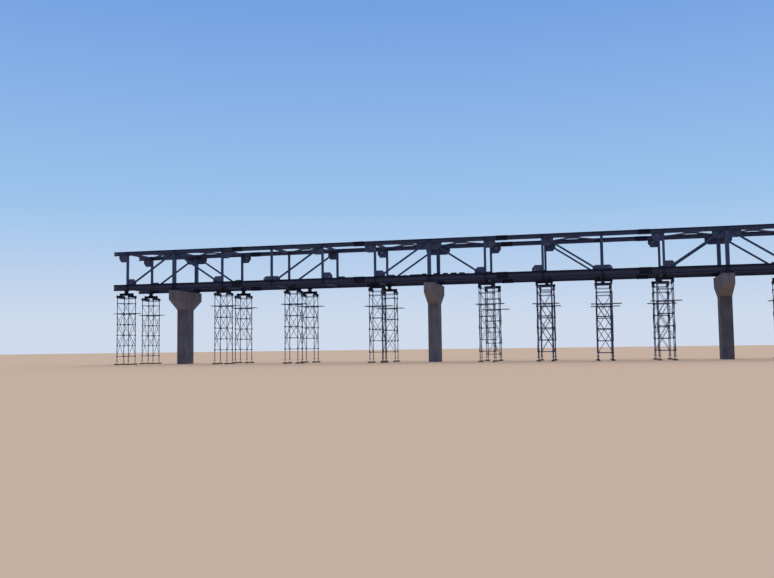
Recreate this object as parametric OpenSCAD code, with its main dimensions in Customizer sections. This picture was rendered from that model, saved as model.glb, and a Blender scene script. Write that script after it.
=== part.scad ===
// Steel pipe bridge on concrete piers, as it stands part way through erection.
// Two side trusses carry the pipe way between them, and shoring towers still hold
// them up between the piers. Half real size, in millimetres.
// X runs along the bridge, Y across it and Z up from the ground. The origin is on
// the ground under the middle pier.

/* [Bridge] */
// Length of one truss panel
panel = 2438; // [2200:1:2700]
// Distance between the two side trusses, centre to centre
truss_spacing = 2286; // [2000:1:2600]
// Height of the bottom chords' underside above the ground
chord_underside = 3520; // [3300:1:3800]
// Depth of a side truss over both chords
truss_depth = 1855; // [1700:1:2100]
// Distance from a panel point to the field splice beyond it
splice_reach = 732; // [600:1:900]
// Gap between chord ends inside a field splice
splice_gap = 8; // [4:1:20]

/* [Chords] */
// Depth of the bottom chord
bottom_chord_depth = 284; // [260:1:320]
// Depth of the top chord
top_chord_depth = 180; // [165:1:220]
// Width of the chord flanges
chord_flange_w = 180; // [165:1:220]
// Thickness of the bottom chord's flanges
bottom_flange_t = 12; // [9:1:16]
// Thickness of the top chord's flanges
top_flange_t = 10; // [7:1:13]
// Thickness of the bottom chord's web
bottom_web_t = 8; // [6:1:12]
// Thickness of the top chord's web
top_web_t = 6; // [5:1:10]
// Thickness of the web stiffeners
stiffener_t = 7; // [5:1:10]
// Distance between the two stiffeners over a bearing
bearing_stiffener_pitch = 110; // [90:1:140]

/* [Web members] */
// Width of an ordinary post
post_w = 96; // [80:1:110]
// Width of a post over a pier
pier_post_w = 148; // [130:1:165]
// Wall thickness of the posts
post_wall = 6; // [5:1:10]
// Width of a diagonal's angles in the plane of the truss
diagonal_w = 76; // [65:1:90]
// Width of a diagonal's outstanding legs
diagonal_leg = 48; // [40:1:60]
// Thickness of a diagonal's angles
diagonal_t = 7; // [5:1:9]
// Length of the packs that hold a diagonal's two angles apart
stitch_len = 70; // [50:1:100]
// Clear gap between a diagonal's end and the chord
diagonal_gap = 14; // [8:1:25]

/* [Gussets and splices] */
// Thickness of the gusset plates
gusset_t = 10; // [8:1:14]
// Reach of a one-sided gusset from the panel point
gusset_w = 460; // [440:1:500]
// Height of a bottom gusset that serves one diagonal
gusset_h = 262; // [240:1:290]
// Height of a top gusset
top_gusset_h = 318; // [290:1:340]
// Reach of a top gusset over a pier
pier_gusset_w = 560; // [500:1:620]
// Height of a top gusset over a pier
pier_gusset_h = 290; // [260:1:310]
// Reach of a bottom gusset that serves two diagonals
shared_gusset_w = 405; // [390:1:440]
// Height of a bottom gusset that serves two diagonals
shared_gusset_h = 178; // [165:1:200]
// Diameter of the bolt holes
bolt_hole_d = 13; // [11:0.5:16]
// Distance between bolt holes
bolt_pitch = 44; // [38:1:50]
// Length of the splice plates
splice_len = 500; // [420:1:600]
// Thickness of the splice plates
splice_plate_t = 9; // [7:1:12]
// Width of the splice plates inside the flanges
inner_splice_w = 66; // [55:1:72]

/* [Cross members] */
// Depth of the floor beams
floor_beam_depth = 200; // [170:1:220]
// Width of the floor beams' flanges
floor_beam_w = 110; // [90:1:125]
// Thickness of the floor beams' flanges
floor_beam_flange_t = 8; // [6:1:12]
// Thickness of the floor beams' web
floor_beam_web_t = 6; // [4:1:8]
// Width of the square top struts
strut_w = 100; // [85:1:110]
// Wall thickness of the top struts
strut_wall = 5; // [4:1:8]
// Thickness of the end plates on floor beams and struts
end_plate_t = 10; // [7:1:14]
// How far an end plate stands past its beam on each side
end_plate_rim = 20; // [14:1:22]
// Leg width of the lateral bracing angles
lateral_w = 56; // [46:1:64]
// Thickness of the lateral bracing angles
lateral_t = 7; // [5:1:9]
// Thickness of the lateral bracing plates
lateral_plate_t = 8; // [6:1:12]
// Width of the plate where two laterals cross
cross_plate_w = 230; // [200:1:280]
// Reach of the lateral plates from their panel point
corner_plate_reach = 290; // [270:1:330]
// Width of the lateral plates' free end
corner_plate_toe = 60; // [45:1:80]
// Length of the lateral plates' square inner edge
corner_plate_heel = 110; // [90:1:130]
// Gap between a lateral plate and the end plate beside it
corner_plate_gap = 8; // [4:1:14]
// Gap under a bracing angle, where its bolts clamp a thin shim
lateral_seat = 0.3; // [0.2:0.1:0.5]

/* [Piers and bearings] */
// Thickness of a pier shaft along the bridge
shaft_along = 470; // [430:1:485]
// Width of a pier shaft across the bridge
shaft_across = 800; // [700:1:1000]
// Thickness of a pier cap along the bridge
cap_along = 495; // [490:1:600]
// How far a pier cap runs past the centre line of each side truss
cap_end = 85; // [84:1:140]
// Height of a pier cap's upright faces
cap_fascia = 400; // [330:1:450]
// Height of the taper below them
cap_taper = 470; // [400:1:520]
// Chamfer on the piers' upright corners
pier_chamfer = 18; // [10:1:30]
// Height of the plinths under the bearings
plinth_h = 15; // [8:1:25]
// How far a plinth is rooted in its cap
plinth_root = 4; // [2:1:8]
// Length of a plinth along the bridge
plinth_along = 420; // [380:1:460]
// Width of a plinth across the bridge
plinth_across = 162; // [150:1:168]
// Thickness of the bearings' steel plates
bearing_plate_t = 12; // [8:1:16]
// Thickness of the rubber pads
bearing_pad_t = 32; // [24:1:44]
// Length of the bearing plates along the bridge
bearing_along = 320; // [280:1:360]
// Width of the bearing plates across the bridge
bearing_across = 142; // [126:1:148]
// How far the rubber pad stays inside the plates
bearing_pad_inset = 12; // [8:1:24]

/* [Shoring towers] */
// Distance between a tower's legs, centre to centre
leg_spacing = 600; // [560:1:700]
// Diameter of the tower legs
leg_d = 38; // [34:0.5:42]
// Width of the ledgers
ledger_d = 24; // [20:0.5:26]
// Thickness of the cross braces
brace_d = 19; // [14:0.5:22]
// Overlap of the braces with the legs
brace_seat = 5; // [4:0.5:6]
// Height of the lowest ledgers above the ground
first_ledger = 400; // [350:1:450]
// Height from one ring of ledgers to the next
lift = 500; // [480:1:520]
// Height of the top ledgers below the head plates
top_ring_drop = 30; // [24:1:60]
// Diameter of the screw jacks under the legs
jack_d = 24; // [20:1:30]
// Height of the legs' lower ends above the ground
leg_foot = 185; // [150:1:240]
// How far a screw jack reaches up inside its leg
jack_overlap = 25; // [15:1:40]
// Width of the base and head plates
tower_plate_w = 116; // [100:1:130]
// Thickness of the base and head plates
tower_plate_t = 9; // [6:1:12]
// Thickness of the timber sills
sill_t = 50; // [38:1:75]
// Width of the timber sills
sill_w = 140; // [125:1:180]
// How far a sill runs past the legs
sill_overhang = 140; // [100:1:200]
// Depth of the cross beams on the tower heads
cross_beam_depth = 100; // [90:1:120]
// Width of the cross beams
cross_beam_w = 70; // [60:1:90]
// How far a cross beam runs past the legs
cross_beam_overhang = 85; // [65:1:110]
// Depth of the header beam
header_depth = 112; // [100:1:130]
// Width of the header beam
header_w = 110; // [90:1:130]
// Length of the header beam
header_len = 740; // [720:1:860]
// Flange thickness of header and cross beams
tower_beam_flange_t = 9; // [7:1:12]
// Web thickness of header and cross beams
tower_beam_web_t = 6; // [5:1:9]
// Height of the steel pack under the chord
pack_h = 131; // [110:1:160]
// Length and width of the pack's plates
pack_w = 200; // [170:1:230]
// Thickness of the pack's plates
pack_plate_t = 12; // [8:1:16]
// Width of the pack's stub
pack_stub_w = 130; // [100:1:150]
// Length of the working planks
plank_len = 1220; // [1000:1:1400]
// Width of a working plank
plank_w = 150; // [120:1:160]
// Thickness of a working plank
plank_t = 22; // [18:1:30]
// Gap between working planks
plank_gap = 14; // [8:1:20]
// How far the planks are pushed along the bridge from their tower's centre
plank_shift = 55; // [0:1:80]

/* [Small pieces on the chord] */
// Length of a chord block
block_len = 290; // [240:1:305]
// Width of a chord block
block_w = 90; // [60:1:110]
// Height of a chord block
block_h = 56; // [40:1:65]

/* [Hidden] */

// Places along the bridge are counted in panels from the middle pier
panels_per_span = 5;
pier_points = [-panels_per_span, 0, panels_per_span];
last_point = panels_per_span + 1;
panel_points = [for (k = [-last_point:last_point]) k];
bridge_end = last_point * panel + splice_reach;
// Each erection unit ends a splice reach past the panel point next to a pier
splices = [for (k = pier_points) for (side = [-1, 1]) (k + side) * panel + side * splice_reach];

// Diagonals as [panel point at the top, panel point at the bottom], right half only
fitted_diagonals = [[0, 1], [2, 3], [5, 4], [5, 6]];
missing_diagonals = [[1, 2], [4, 3]];
// The diagonal past the bridge's end has only its top gusset so far
waiting_top = [[last_point, last_point + 1]];
braced_panels = [[0, 1], [2, 3], [4, 5], [5, 6]];
// Lines of shoring towers
tower_lines = [-6.02, -3.97, -2.57, -0.96, 1.02, 2.015, 3.01, 4, 6];
// How much higher the near and the far tower's rings sit on each line, in lifts
ring_shifts = [[0, 0], [0.5, 0.5], [0.5, 0.5], [0.13, 0.13], [0.08, -0.2], [0, 0],
    [-0.14, -0.14], [0, 0], [0, 0]];
// The ring from which the near and the far tower's lowest braces rise on each line
brace_feet = [[1, 1], [1, 1], [1, 1], [1, 0], [1, 0], [1, 0], [0, 1], [1, 0], [1, 0]];
// Blocks lying on the near bottom chord beside the middle pier
block_places = [-0.1, 0.128, 0.285, 0.44, 0.59];
// The plank ring, counted from the lowest ring of ledgers
plank_ring = 4;
// Length and shift of the planks on each line, as shares of the usual ones
plank_fits = [[1, 1], [1, 1], [1, 1], [1, 1], [1, 2.2], [0.91, 0.8], [1.03, 1.4],
    [1, 0.7], [1, 1]];
planks_per_tower = 3;
// Columns of bolt holes at a chord's free end, and their rows as a share of the flange
end_hole_columns = 2;
flange_row_share = 0.3;
// Rows of gusset holes beside the diagonal's axis, in bolt pitches
gusset_row_share = 0.4;
// Where a gusset's outer corner is cut off, as shares of its reach and of its height
gusset_shoulder_share = 0.74;
gusset_lip_share = 0.47;
// Width of a lateral plate as a share of its reach
corner_plate_share = 0.8;

NEAR = -1;
FAR = 1;
bottom_chord_top = chord_underside + bottom_chord_depth;
top_chord_top = chord_underside + truss_depth;
top_chord_underside = top_chord_top - top_chord_depth;
bottom_axis = chord_underside + bottom_chord_depth / 2;
top_axis = top_chord_top - top_chord_depth / 2;
bottom_web_face = truss_spacing / 2 - bottom_web_t / 2;
top_web_face = truss_spacing / 2 - top_web_t / 2;
bottom_web_clear = bottom_chord_depth - 2 * bottom_flange_t;
top_web_clear = top_chord_depth - 2 * top_flange_t;

slope = atan((top_axis - bottom_axis) / panel);
diagonal_axis_len = norm([panel, top_axis - bottom_axis]);
// Distance from a working point to the end of a diagonal, past half a chord's depth
function diagonal_start(chord_depth) =
    (chord_depth / 2 + diagonal_gap + diagonal_w / 2 * cos(slope)) / sin(slope);
diagonal_top_cut = diagonal_start(top_chord_depth);
diagonal_bottom_cut = diagonal_start(bottom_chord_depth);
diagonal_len = diagonal_axis_len - diagonal_top_cut - diagonal_bottom_cut;

bearing_h = plinth_h + 2 * bearing_plate_t + bearing_pad_t;
cap_top = chord_underside - bearing_h;
cap_across = truss_spacing + 2 * cap_end;
cap_bottom = cap_top - cap_fascia - cap_taper;

header_top = chord_underside - pack_h;
cross_beam_top = header_top - header_depth;
leg_top = cross_beam_top - cross_beam_depth - tower_plate_t;
half_legs = leg_spacing / 2;
top_ring = leg_top - top_ring_drop;
// Heights of a tower's rings of ledgers, as far as they fit below the top ring
function tower_rings(line_index, side) =
    [for (z = [first_ledger + ring_shifts[line_index][side == NEAR ? 0 : 1] * lift
        : lift : top_ring - ledger_d]) z];
brace_plane = half_legs + leg_d / 2 + brace_d / 2 - brace_seat;

STEEL = [0.13, 0.14, 0.18];
CONCRETE = [0.42, 0.39, 0.37];
TUBE = [0.25, 0.27, 0.33];
RUST = [0.33, 0.19, 0.15];
TIMBER = [0.62, 0.52, 0.38];
RUBBER = [0.08, 0.08, 0.08];

// General shapes

module i_outline(depth, w, flange_t, web_t) {
    polygon([[-w / 2, 0], [w / 2, 0], [w / 2, flange_t], [web_t / 2, flange_t],
        [web_t / 2, depth - flange_t], [w / 2, depth - flange_t], [w / 2, depth],
        [-w / 2, depth], [-w / 2, depth - flange_t], [-web_t / 2, depth - flange_t],
        [-web_t / 2, flange_t], [-w / 2, flange_t]]);
}

// An I-beam along X from x = 0, with its underside at z = 0
module beam_along(length, depth, w, flange_t, web_t) {
    rotate([90, 0, 90]) linear_extrude(length) i_outline(depth, w, flange_t, web_t);
}

// The same beam along Y, centred on y = 0
module beam_across(length, depth, w, flange_t, web_t) {
    translate([0, length / 2, 0]) rotate([90, 0, 0])
        linear_extrude(length) i_outline(depth, w, flange_t, web_t);
}

module square_tube(length, w, wall) {
    linear_extrude(length) difference() {
        square(w, center = true);
        square(w - 2 * wall, center = true);
    }
}

module chamfered_rectangle(along, across, chamfer) {
    x = along / 2;
    y = across / 2;
    polygon([[chamfer - x, -y], [x - chamfer, -y], [x, chamfer - y], [x, y - chamfer],
        [x - chamfer, y], [chamfer - x, y], [-x, y - chamfer], [-x, chamfer - y]]);
}

// A plate lying centred on x and y, with its underside at z = 0
module plate(along, across, t) {
    translate([-along / 2, -across / 2, 0]) cube([along, across, t]);
}

// A straight bar of few sides, measured across its flats, up from z = 0
module bar(d, length, sides) {
    rotate([0, 0, 180 / sides]) cylinder(d = d / cos(180 / sides), h = length, $fn = sides);
}

// Puts a piece on the line of one side truss, with its outer side away from the bridge
module on_truss(side) {
    translate([0, side * truss_spacing / 2, 0]) mirror([0, side == FAR ? 1 : 0, 0]) children();
}

// Repeats a piece, drawn for the right half, in both halves of the bridge
module both_halves() {
    children();
    mirror([1, 0, 0]) children();
}

// Chords

// Bolt holes near the free end of a chord, for the next unit's splice plates
module end_holes(depth, web_t) {
    for (i = [1:end_hole_columns], row = [-1, 1]) {
        translate([-i * bolt_pitch, web_t, depth / 2 + row * bolt_pitch / 2])
            rotate([90, 0, 0]) cylinder(d = bolt_hole_d, h = 2 * web_t, $fn = 24);
        translate([-i * bolt_pitch, row * chord_flange_w * flange_row_share, -1])
            cylinder(d = bolt_hole_d, h = depth + 2, $fn = 24);
    }
}

module outer_stiffener(depth, flange_t, web_t) {
    stiffener_w = (chord_flange_w - web_t) / 2;
    translate([-stiffener_t / 2, -web_t / 2 - stiffener_w, flange_t])
        cube([stiffener_t, stiffener_w, depth - 2 * flange_t]);
}

// One chord of a side truss, in the lengths that were lifted in one piece
module chord(depth, flange_t, web_t, bearing_points) {
    difference() {
        union() {
            for (i = [0:len(splices) - 2]) {
                from = splices[i] + (i == 0 ? 0 : splice_gap / 2);
                to = splices[i + 1] - (i == len(splices) - 2 ? 0 : splice_gap / 2);
                translate([from, 0, 0])
                    beam_along(to - from, depth, chord_flange_w, flange_t, web_t);
            }
            for (k = panel_points) {
                at_bearing = len([for (p = bearing_points) if (p == k) 1]) > 0;
                offsets = at_bearing ? [-0.5, 0.5] : [0];
                for (o = offsets) {
                    translate([k * panel + o * bearing_stiffener_pitch, 0, 0])
                        outer_stiffener(depth, flange_t, web_t);
                }
            }
        }
        both_halves() translate([bridge_end, 0, 0]) end_holes(depth, web_t);
    }
}

module bottom_chord(side) {
    color(STEEL) on_truss(side) translate([0, 0, chord_underside])
        chord(bottom_chord_depth, bottom_flange_t, bottom_web_t, pier_points);
}

module top_chord(side) {
    color(STEEL) on_truss(side) translate([0, 0, top_chord_underside])
        chord(top_chord_depth, top_flange_t, top_web_t, []);
}

module near_bottom_chord() { bottom_chord(NEAR); }
module far_bottom_chord() { bottom_chord(FAR); }
module near_top_chord() { top_chord(NEAR); }
module far_top_chord() { top_chord(FAR); }

// Posts, hollow square sections welded between the chords

module posts(side, points, w) {
    color(STEEL) on_truss(side) for (k = points) {
        translate([k * panel, 0, bottom_chord_top])
            square_tube(top_chord_underside - bottom_chord_top, w, post_wall);
    }
}

ordinary_points = [for (k = panel_points) if (k % panels_per_span != 0) k];
module near_posts() { posts(NEAR, ordinary_points, post_w); }
module far_posts() { posts(FAR, ordinary_points, post_w); }
module near_pier_posts() { posts(NEAR, pier_points, pier_post_w); }
module far_pier_posts() { posts(FAR, pier_points, pier_post_w); }

// Diagonals, each two angles back to back over the gussets

module diagonal_angle() {
    u = diagonal_w / 2;
    v = gusset_t / 2;
    linear_extrude(diagonal_len) polygon([[-u, v], [u, v], [u, v + diagonal_leg],
        [u - diagonal_t, v + diagonal_leg], [u - diagonal_t, v + diagonal_t],
        [-u, v + diagonal_t]]);
}

// A diagonal that runs down to the right from its top working point
module diagonal() {
    rotate([0, 90 + slope, 0]) translate([0, 0, diagonal_top_cut]) {
        diagonal_angle();
        mirror([0, 1, 0]) diagonal_angle();
        for (share = [1, 2] / 3) {
            translate([-diagonal_w / 2, -gusset_t / 2, share * diagonal_len - stitch_len / 2])
                cube([diagonal_w, gusset_t, stitch_len]);
        }
    }
}

module diagonals(side) {
    color(STEEL) on_truss(side) both_halves() for (d = fitted_diagonals) {
        translate([d[0] * panel, 0, top_axis]) mirror([d[1] < d[0] ? 1 : 0, 0, 0]) diagonal();
    }
}

module near_diagonals() { diagonals(NEAR); }
module far_diagonals() { diagonals(FAR); }

// Gussets: plates in the plane of the truss, from a post's face out along the chord.
// The drawing lies in x and z, with z away from the chord.

module gusset(from, reach, height, chord_depth, open_holes) {
    t = gusset_t;
    // A missing diagonal's holes lie on its axis, inside the plate
    first = diagonal_start(chord_depth) + bolt_pitch / 2;
    difference() {
        rotate([90, 0, 0]) linear_extrude(t, center = true)
            polygon([[from, 0], [reach, 0], [reach, height * gusset_lip_share],
                [reach * gusset_shoulder_share, height], [from, height]]);
        if (open_holes) {
            for (i = [0, 1], row = [-1, 1]) {
                translate([0, 0, -chord_depth / 2]) rotate([0, -slope, 0])
                    translate([first + i * bolt_pitch, t, row * bolt_pitch * gusset_row_share])
                    rotate([90, 0, 0]) cylinder(d = bolt_hole_d, h = 2 * t, $fn = 24);
            }
        }
    }
}

function is_pier(k) = abs(k) % panels_per_span == 0;
function post_half(k) = (is_pier(k) ? pier_post_w : post_w) / 2;
// The bottom point near midspan serves a diagonal on each side
function is_shared(k) = k == 3;

module top_gussets(side) {
    wide = concat(fitted_diagonals, missing_diagonals, waiting_top);
    color(STEEL) on_truss(side) both_halves() for (i = [0:len(wide) - 1]) {
        d = wide[i];
        pier = is_pier(d[0]);
        translate([d[0] * panel, 0, top_chord_underside])
            mirror([d[1] < d[0] ? 1 : 0, 0, 0]) mirror([0, 0, 1])
            gusset(post_half(d[0]), pier ? pier_gusset_w : gusset_w,
                pier ? pier_gusset_h : top_gusset_h, top_chord_depth,
                i >= len(fitted_diagonals));
    }
}

module bottom_gussets(side) {
    wide = concat(fitted_diagonals, missing_diagonals);
    color(STEEL) on_truss(side) both_halves() for (i = [0:len(wide) - 1]) {
        d = wide[i];
        shared = is_shared(d[1]);
        translate([d[1] * panel, 0, bottom_chord_top])
            mirror([d[0] < d[1] ? 1 : 0, 0, 0])
            gusset(post_half(d[1]), shared ? shared_gusset_w : gusset_w,
                shared ? shared_gusset_h : gusset_h, bottom_chord_depth,
                i >= len(fitted_diagonals));
    }
}

module near_top_gussets() { top_gussets(NEAR); }
module far_top_gussets() { top_gussets(FAR); }
module near_bottom_gussets() { bottom_gussets(NEAR); }
module far_bottom_gussets() { bottom_gussets(FAR); }

// Field splices: plates on both sides of the web and of each flange

module chord_splice(depth, flange_t, web_t, web_clear) {
    web_plate_h = web_clear - 4 * splice_plate_t;
    for (side = [-1, 1]) {
        translate([-splice_len / 2, side * (web_t + splice_plate_t) / 2 - splice_plate_t / 2,
            depth / 2 - web_plate_h / 2])
            cube([splice_len, splice_plate_t, web_plate_h]);
        for (z = [flange_t, depth - flange_t - splice_plate_t]) {
            translate([0, side * (chord_flange_w - inner_splice_w) / 2, z])
                plate(splice_len, inner_splice_w, splice_plate_t);
        }
    }
    for (z = [-splice_plate_t, depth]) {
        translate([0, 0, z]) plate(splice_len, chord_flange_w, splice_plate_t);
    }
}

module splice_plates(side) {
    color(STEEL) on_truss(side) for (i = [1:len(splices) - 2]) {
        translate([splices[i], 0, chord_underside])
            chord_splice(bottom_chord_depth, bottom_flange_t, bottom_web_t, bottom_web_clear);
        translate([splices[i], 0, top_chord_underside])
            chord_splice(top_chord_depth, top_flange_t, top_web_t, top_web_clear);
    }
}

module near_splice_plates() { splice_plates(NEAR); }
module far_splice_plates() { splice_plates(FAR); }

// Cross members between the two side trusses

module floor_beam() {
    beam_len = 2 * (bottom_web_face - end_plate_t);
    beam_across(beam_len, floor_beam_depth, floor_beam_w, floor_beam_flange_t,
        floor_beam_web_t);
    for (side = [-1, 1]) {
        translate([0, side * (bottom_web_face - end_plate_t / 2), -end_plate_rim])
            plate(floor_beam_w + 2 * end_plate_rim, end_plate_t,
                floor_beam_depth + 2 * end_plate_rim);
    }
}

module floor_beams() {
    color(STEEL) for (k = panel_points) {
        translate([k * panel, 0, bottom_axis - floor_beam_depth / 2]) floor_beam();
    }
}

module top_strut() {
    tube_len = 2 * (top_web_face - end_plate_t);
    plate_w = strut_w + 2 * end_plate_rim;
    translate([0, tube_len / 2, 0]) rotate([90, 0, 0])
        square_tube(tube_len, strut_w, strut_wall);
    for (side = [-1, 1]) {
        translate([0, side * (top_web_face - end_plate_t / 2), -plate_w / 2])
            plate(plate_w, end_plate_t, plate_w);
    }
}

module top_struts() {
    color(STEEL) for (k = panel_points) translate([k * panel, 0, top_axis]) top_strut();
}

// Lateral bracing: two angles that cross on a plate, bolted to plates on the chords.
// z = 0 is the top of the plates.

lateral_angle = atan(truss_spacing / panel);
lateral_axis_len = norm([panel, truss_spacing]);
corner_plate_start = strut_w / 2 + end_plate_rim + corner_plate_gap;
// A lateral starts clear of the strut and of the chord's web
lateral_start = (corner_plate_start + lateral_w / 2 * sin(lateral_angle)) / cos(lateral_angle);

module lateral_bar(from, to) {
    translate([0, 0, lateral_seat]) rotate([90, 0, 90]) translate([0, 0, from])
        linear_extrude(to - from)
        polygon([[-lateral_w / 2, 0], [lateral_w / 2, 0], [lateral_w / 2, lateral_t],
            [lateral_t - lateral_w / 2, lateral_t], [lateral_t - lateral_w / 2, lateral_w],
            [-lateral_w / 2, lateral_w]]);
}

module corner_plate(web_face) {
    near = corner_plate_start;
    far = corner_plate_reach;
    face = truss_spacing / 2 - web_face;
    inner = far * corner_plate_share;
    translate([0, 0, -lateral_plate_t]) linear_extrude(lateral_plate_t)
        polygon([[near, face], [far, face], [far, face + corner_plate_toe],
            [near + corner_plate_heel, inner], [near, inner]]);
}

module lateral_panel(web_face) {
    gap = lateral_w;
    middle = lateral_axis_len / 2;
    translate([0, -truss_spacing / 2, 0]) rotate([0, 0, lateral_angle])
        lateral_bar(lateral_start, lateral_axis_len - lateral_start);
    translate([0, truss_spacing / 2, 0]) rotate([0, 0, -lateral_angle]) {
        lateral_bar(lateral_start, middle - gap);
        lateral_bar(middle + gap, lateral_axis_len - lateral_start);
    }
    translate([panel / 2, 0, -lateral_plate_t])
        plate(cross_plate_w, cross_plate_w, lateral_plate_t);
    for (x = [0, 1], y = [0, 1]) {
        translate([x * panel, (y - 0.5) * truss_spacing, 0]) mirror([x, 0, 0])
            mirror([0, y, 0]) corner_plate(web_face);
    }
}

module laterals(z, web_face) {
    color(STEEL) both_halves() for (p = braced_panels) {
        translate([p[0] * panel, 0, z]) lateral_panel(web_face);
    }
}

module top_laterals() { laterals(top_axis, top_web_face); }
module bottom_laterals() { laterals(bottom_axis, bottom_web_face); }

// Piers

module pier_shaft(point) {
    color(CONCRETE) translate([point * panel, 0, 0])
        linear_extrude(cap_bottom) chamfered_rectangle(shaft_along, shaft_across, pier_chamfer);
}

// Side view of a cap: upright fascia, then a taper down to the shaft
module cap_outline(top_w, bottom_w) {
    polygon([[-bottom_w / 2, cap_bottom], [bottom_w / 2, cap_bottom],
        [top_w / 2, cap_bottom + cap_taper], [top_w / 2, cap_top],
        [-top_w / 2, cap_top], [-top_w / 2, cap_bottom + cap_taper]]);
}

module pier_cap(point) {
    color(CONCRETE) translate([point * panel, 0, 0]) {
        intersection() {
            translate([0, cap_across / 2, 0]) rotate([90, 0, 0])
                linear_extrude(cap_across) cap_outline(cap_along, shaft_along);
            translate([-cap_along / 2, 0, 0]) rotate([90, 0, 90])
                linear_extrude(cap_along) cap_outline(cap_across, shaft_across);
            linear_extrude(cap_top) chamfered_rectangle(cap_along, cap_across, pier_chamfer);
        }
        for (side = [NEAR, FAR]) {
            translate([0, side * truss_spacing / 2, cap_top - plinth_root])
                plate(plinth_along, plinth_across, plinth_h + plinth_root);
        }
    }
}

module pier_shaft_left() { pier_shaft(pier_points[0]); }
module pier_shaft_middle() { pier_shaft(pier_points[1]); }
module pier_shaft_right() { pier_shaft(pier_points[2]); }
module pier_cap_left() { pier_cap(pier_points[0]); }
module pier_cap_middle() { pier_cap(pier_points[1]); }
module pier_cap_right() { pier_cap(pier_points[2]); }

// Bearings: a rubber pad between two steel plates under each truss at each pier

module at_bearings(height) {
    for (k = pier_points, side = [NEAR, FAR]) {
        translate([k * panel, side * truss_spacing / 2, cap_top + plinth_h + height])
            children();
    }
}

module bearing_plates() {
    color(STEEL) for (z = [0, bearing_plate_t + bearing_pad_t]) {
        at_bearings(z) plate(bearing_along, bearing_across, bearing_plate_t);
    }
}

module bearing_pads() {
    color(RUBBER) at_bearings(bearing_plate_t)
        plate(bearing_along - 2 * bearing_pad_inset, bearing_across - 2 * bearing_pad_inset,
            bearing_pad_t);
}

// Shoring towers: frames of tube on screw jacks, one under each truss

module tower_leg() {
    translate([0, 0, sill_t]) plate(tower_plate_w, tower_plate_w, tower_plate_t);
    translate([0, 0, sill_t]) bar(jack_d, leg_foot + jack_overlap - sill_t, 6);
    translate([0, 0, leg_foot]) bar(leg_d, leg_top - leg_foot, 8);
    translate([0, 0, leg_top]) plate(tower_plate_w, tower_plate_w, tower_plate_t);
}

// The two crossing braces of one face, in the plane y = 0
module brace_pair(from, to) {
    rise = to - from;
    length = norm([leg_spacing, rise]);
    tilt = atan(leg_spacing / rise);
    for (side = [-1, 1]) {
        translate([-side * half_legs, 0, from]) rotate([0, side * tilt, 0])
            bar(brace_d, length, 4);
    }
}

// The pairs of braces on one face, one above the other from the given ring up. Each spans
// two lifts and ends below the head plates.
module face_braces(rings, foot) {
    for (i = [foot:2:len(rings) - 1]) {
        upper = rings[i] + 2 * lift;
        if (upper < leg_top - brace_d / 2)
            translate([0, brace_plane, 0]) brace_pair(rings[i], upper);
    }
}

// The braces of neighbouring faces are staggered by one lift
module tower(rings, brace_foot) {
    for (x = [-half_legs, half_legs], y = [-half_legs, half_legs]) {
        translate([x, y, 0]) tower_leg();
    }
    for (turn = [0:3]) rotate([0, 0, 90 * turn]) {
        for (z = concat(rings, [top_ring])) {
            translate([-half_legs, half_legs, z]) rotate([0, 90, 0])
                bar(ledger_d, leg_spacing, 4);
        }
        face_braces(rings, (brace_foot + turn) % 2);
    }
}

module on_tower_line(line) {
    for (side = [NEAR, FAR]) {
        translate([line * panel, side * truss_spacing / 2, 0]) children();
    }
}

module shoring_towers(i) {
    color(TUBE) for (side = [NEAR, FAR]) {
        translate([tower_lines[i - 1] * panel, side * truss_spacing / 2, 0])
            tower(tower_rings(i - 1, side), brace_feet[i - 1][side == NEAR ? 0 : 1]);
    }
}

module shoring_towers_1() { shoring_towers(1); }
module shoring_towers_2() { shoring_towers(2); }
module shoring_towers_3() { shoring_towers(3); }
module shoring_towers_4() { shoring_towers(4); }
module shoring_towers_5() { shoring_towers(5); }
module shoring_towers_6() { shoring_towers(6); }
module shoring_towers_7() { shoring_towers(7); }
module shoring_towers_8() { shoring_towers(8); }
module shoring_towers_9() { shoring_towers(9); }

module at_towers() { for (line = tower_lines) on_tower_line(line) children(); }

module tower_cross_beams() {
    color(STEEL) at_towers() for (x = [-half_legs, half_legs]) {
        translate([x, 0, cross_beam_top - cross_beam_depth])
            beam_across(leg_spacing + 2 * cross_beam_overhang, cross_beam_depth,
                cross_beam_w, tower_beam_flange_t, tower_beam_web_t);
    }
}

module tower_header_beams() {
    color(STEEL) at_towers() translate([-header_len / 2, 0, cross_beam_top])
        beam_along(header_len, header_depth, header_w, tower_beam_flange_t,
            tower_beam_web_t);
}

// A short stub between two plates
module steel_pack() {
    plate(pack_w, pack_w, pack_plate_t);
    plate(pack_stub_w, pack_stub_w, pack_h);
    translate([0, 0, pack_h - pack_plate_t]) plate(pack_w, pack_w, pack_plate_t);
}

module steel_packs() {
    color(RUST) at_towers() translate([0, 0, header_top]) steel_pack();
}

module work_planks() {
    pitch = plank_w + plank_gap;
    color(TIMBER) for (line = [0:len(tower_lines) - 1], side = [NEAR, FAR]) {
        fit = plank_fits[line];
        seat = tower_rings(line, side)[plank_ring] + ledger_d / 2;
        for (i = [0:planks_per_tower - 1]) {
            translate([tower_lines[line] * panel + fit[1] * plank_shift,
                side * truss_spacing / 2 + (i - (planks_per_tower - 1) / 2) * pitch, seat])
                plate(fit[0] * plank_len, plank_w, plank_t);
        }
    }
}

module timber_sills() {
    color(TIMBER) at_towers() for (x = [-half_legs, half_legs]) {
        translate([x, 0, 0]) plate(sill_w, leg_spacing + 2 * sill_overhang, sill_t);
    }
}

module chord_blocks() {
    color(STEEL) on_truss(NEAR) for (place = block_places) {
        translate([place * panel, 0, bottom_chord_top]) plate(block_len, block_w, block_h);
    }
}

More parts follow.
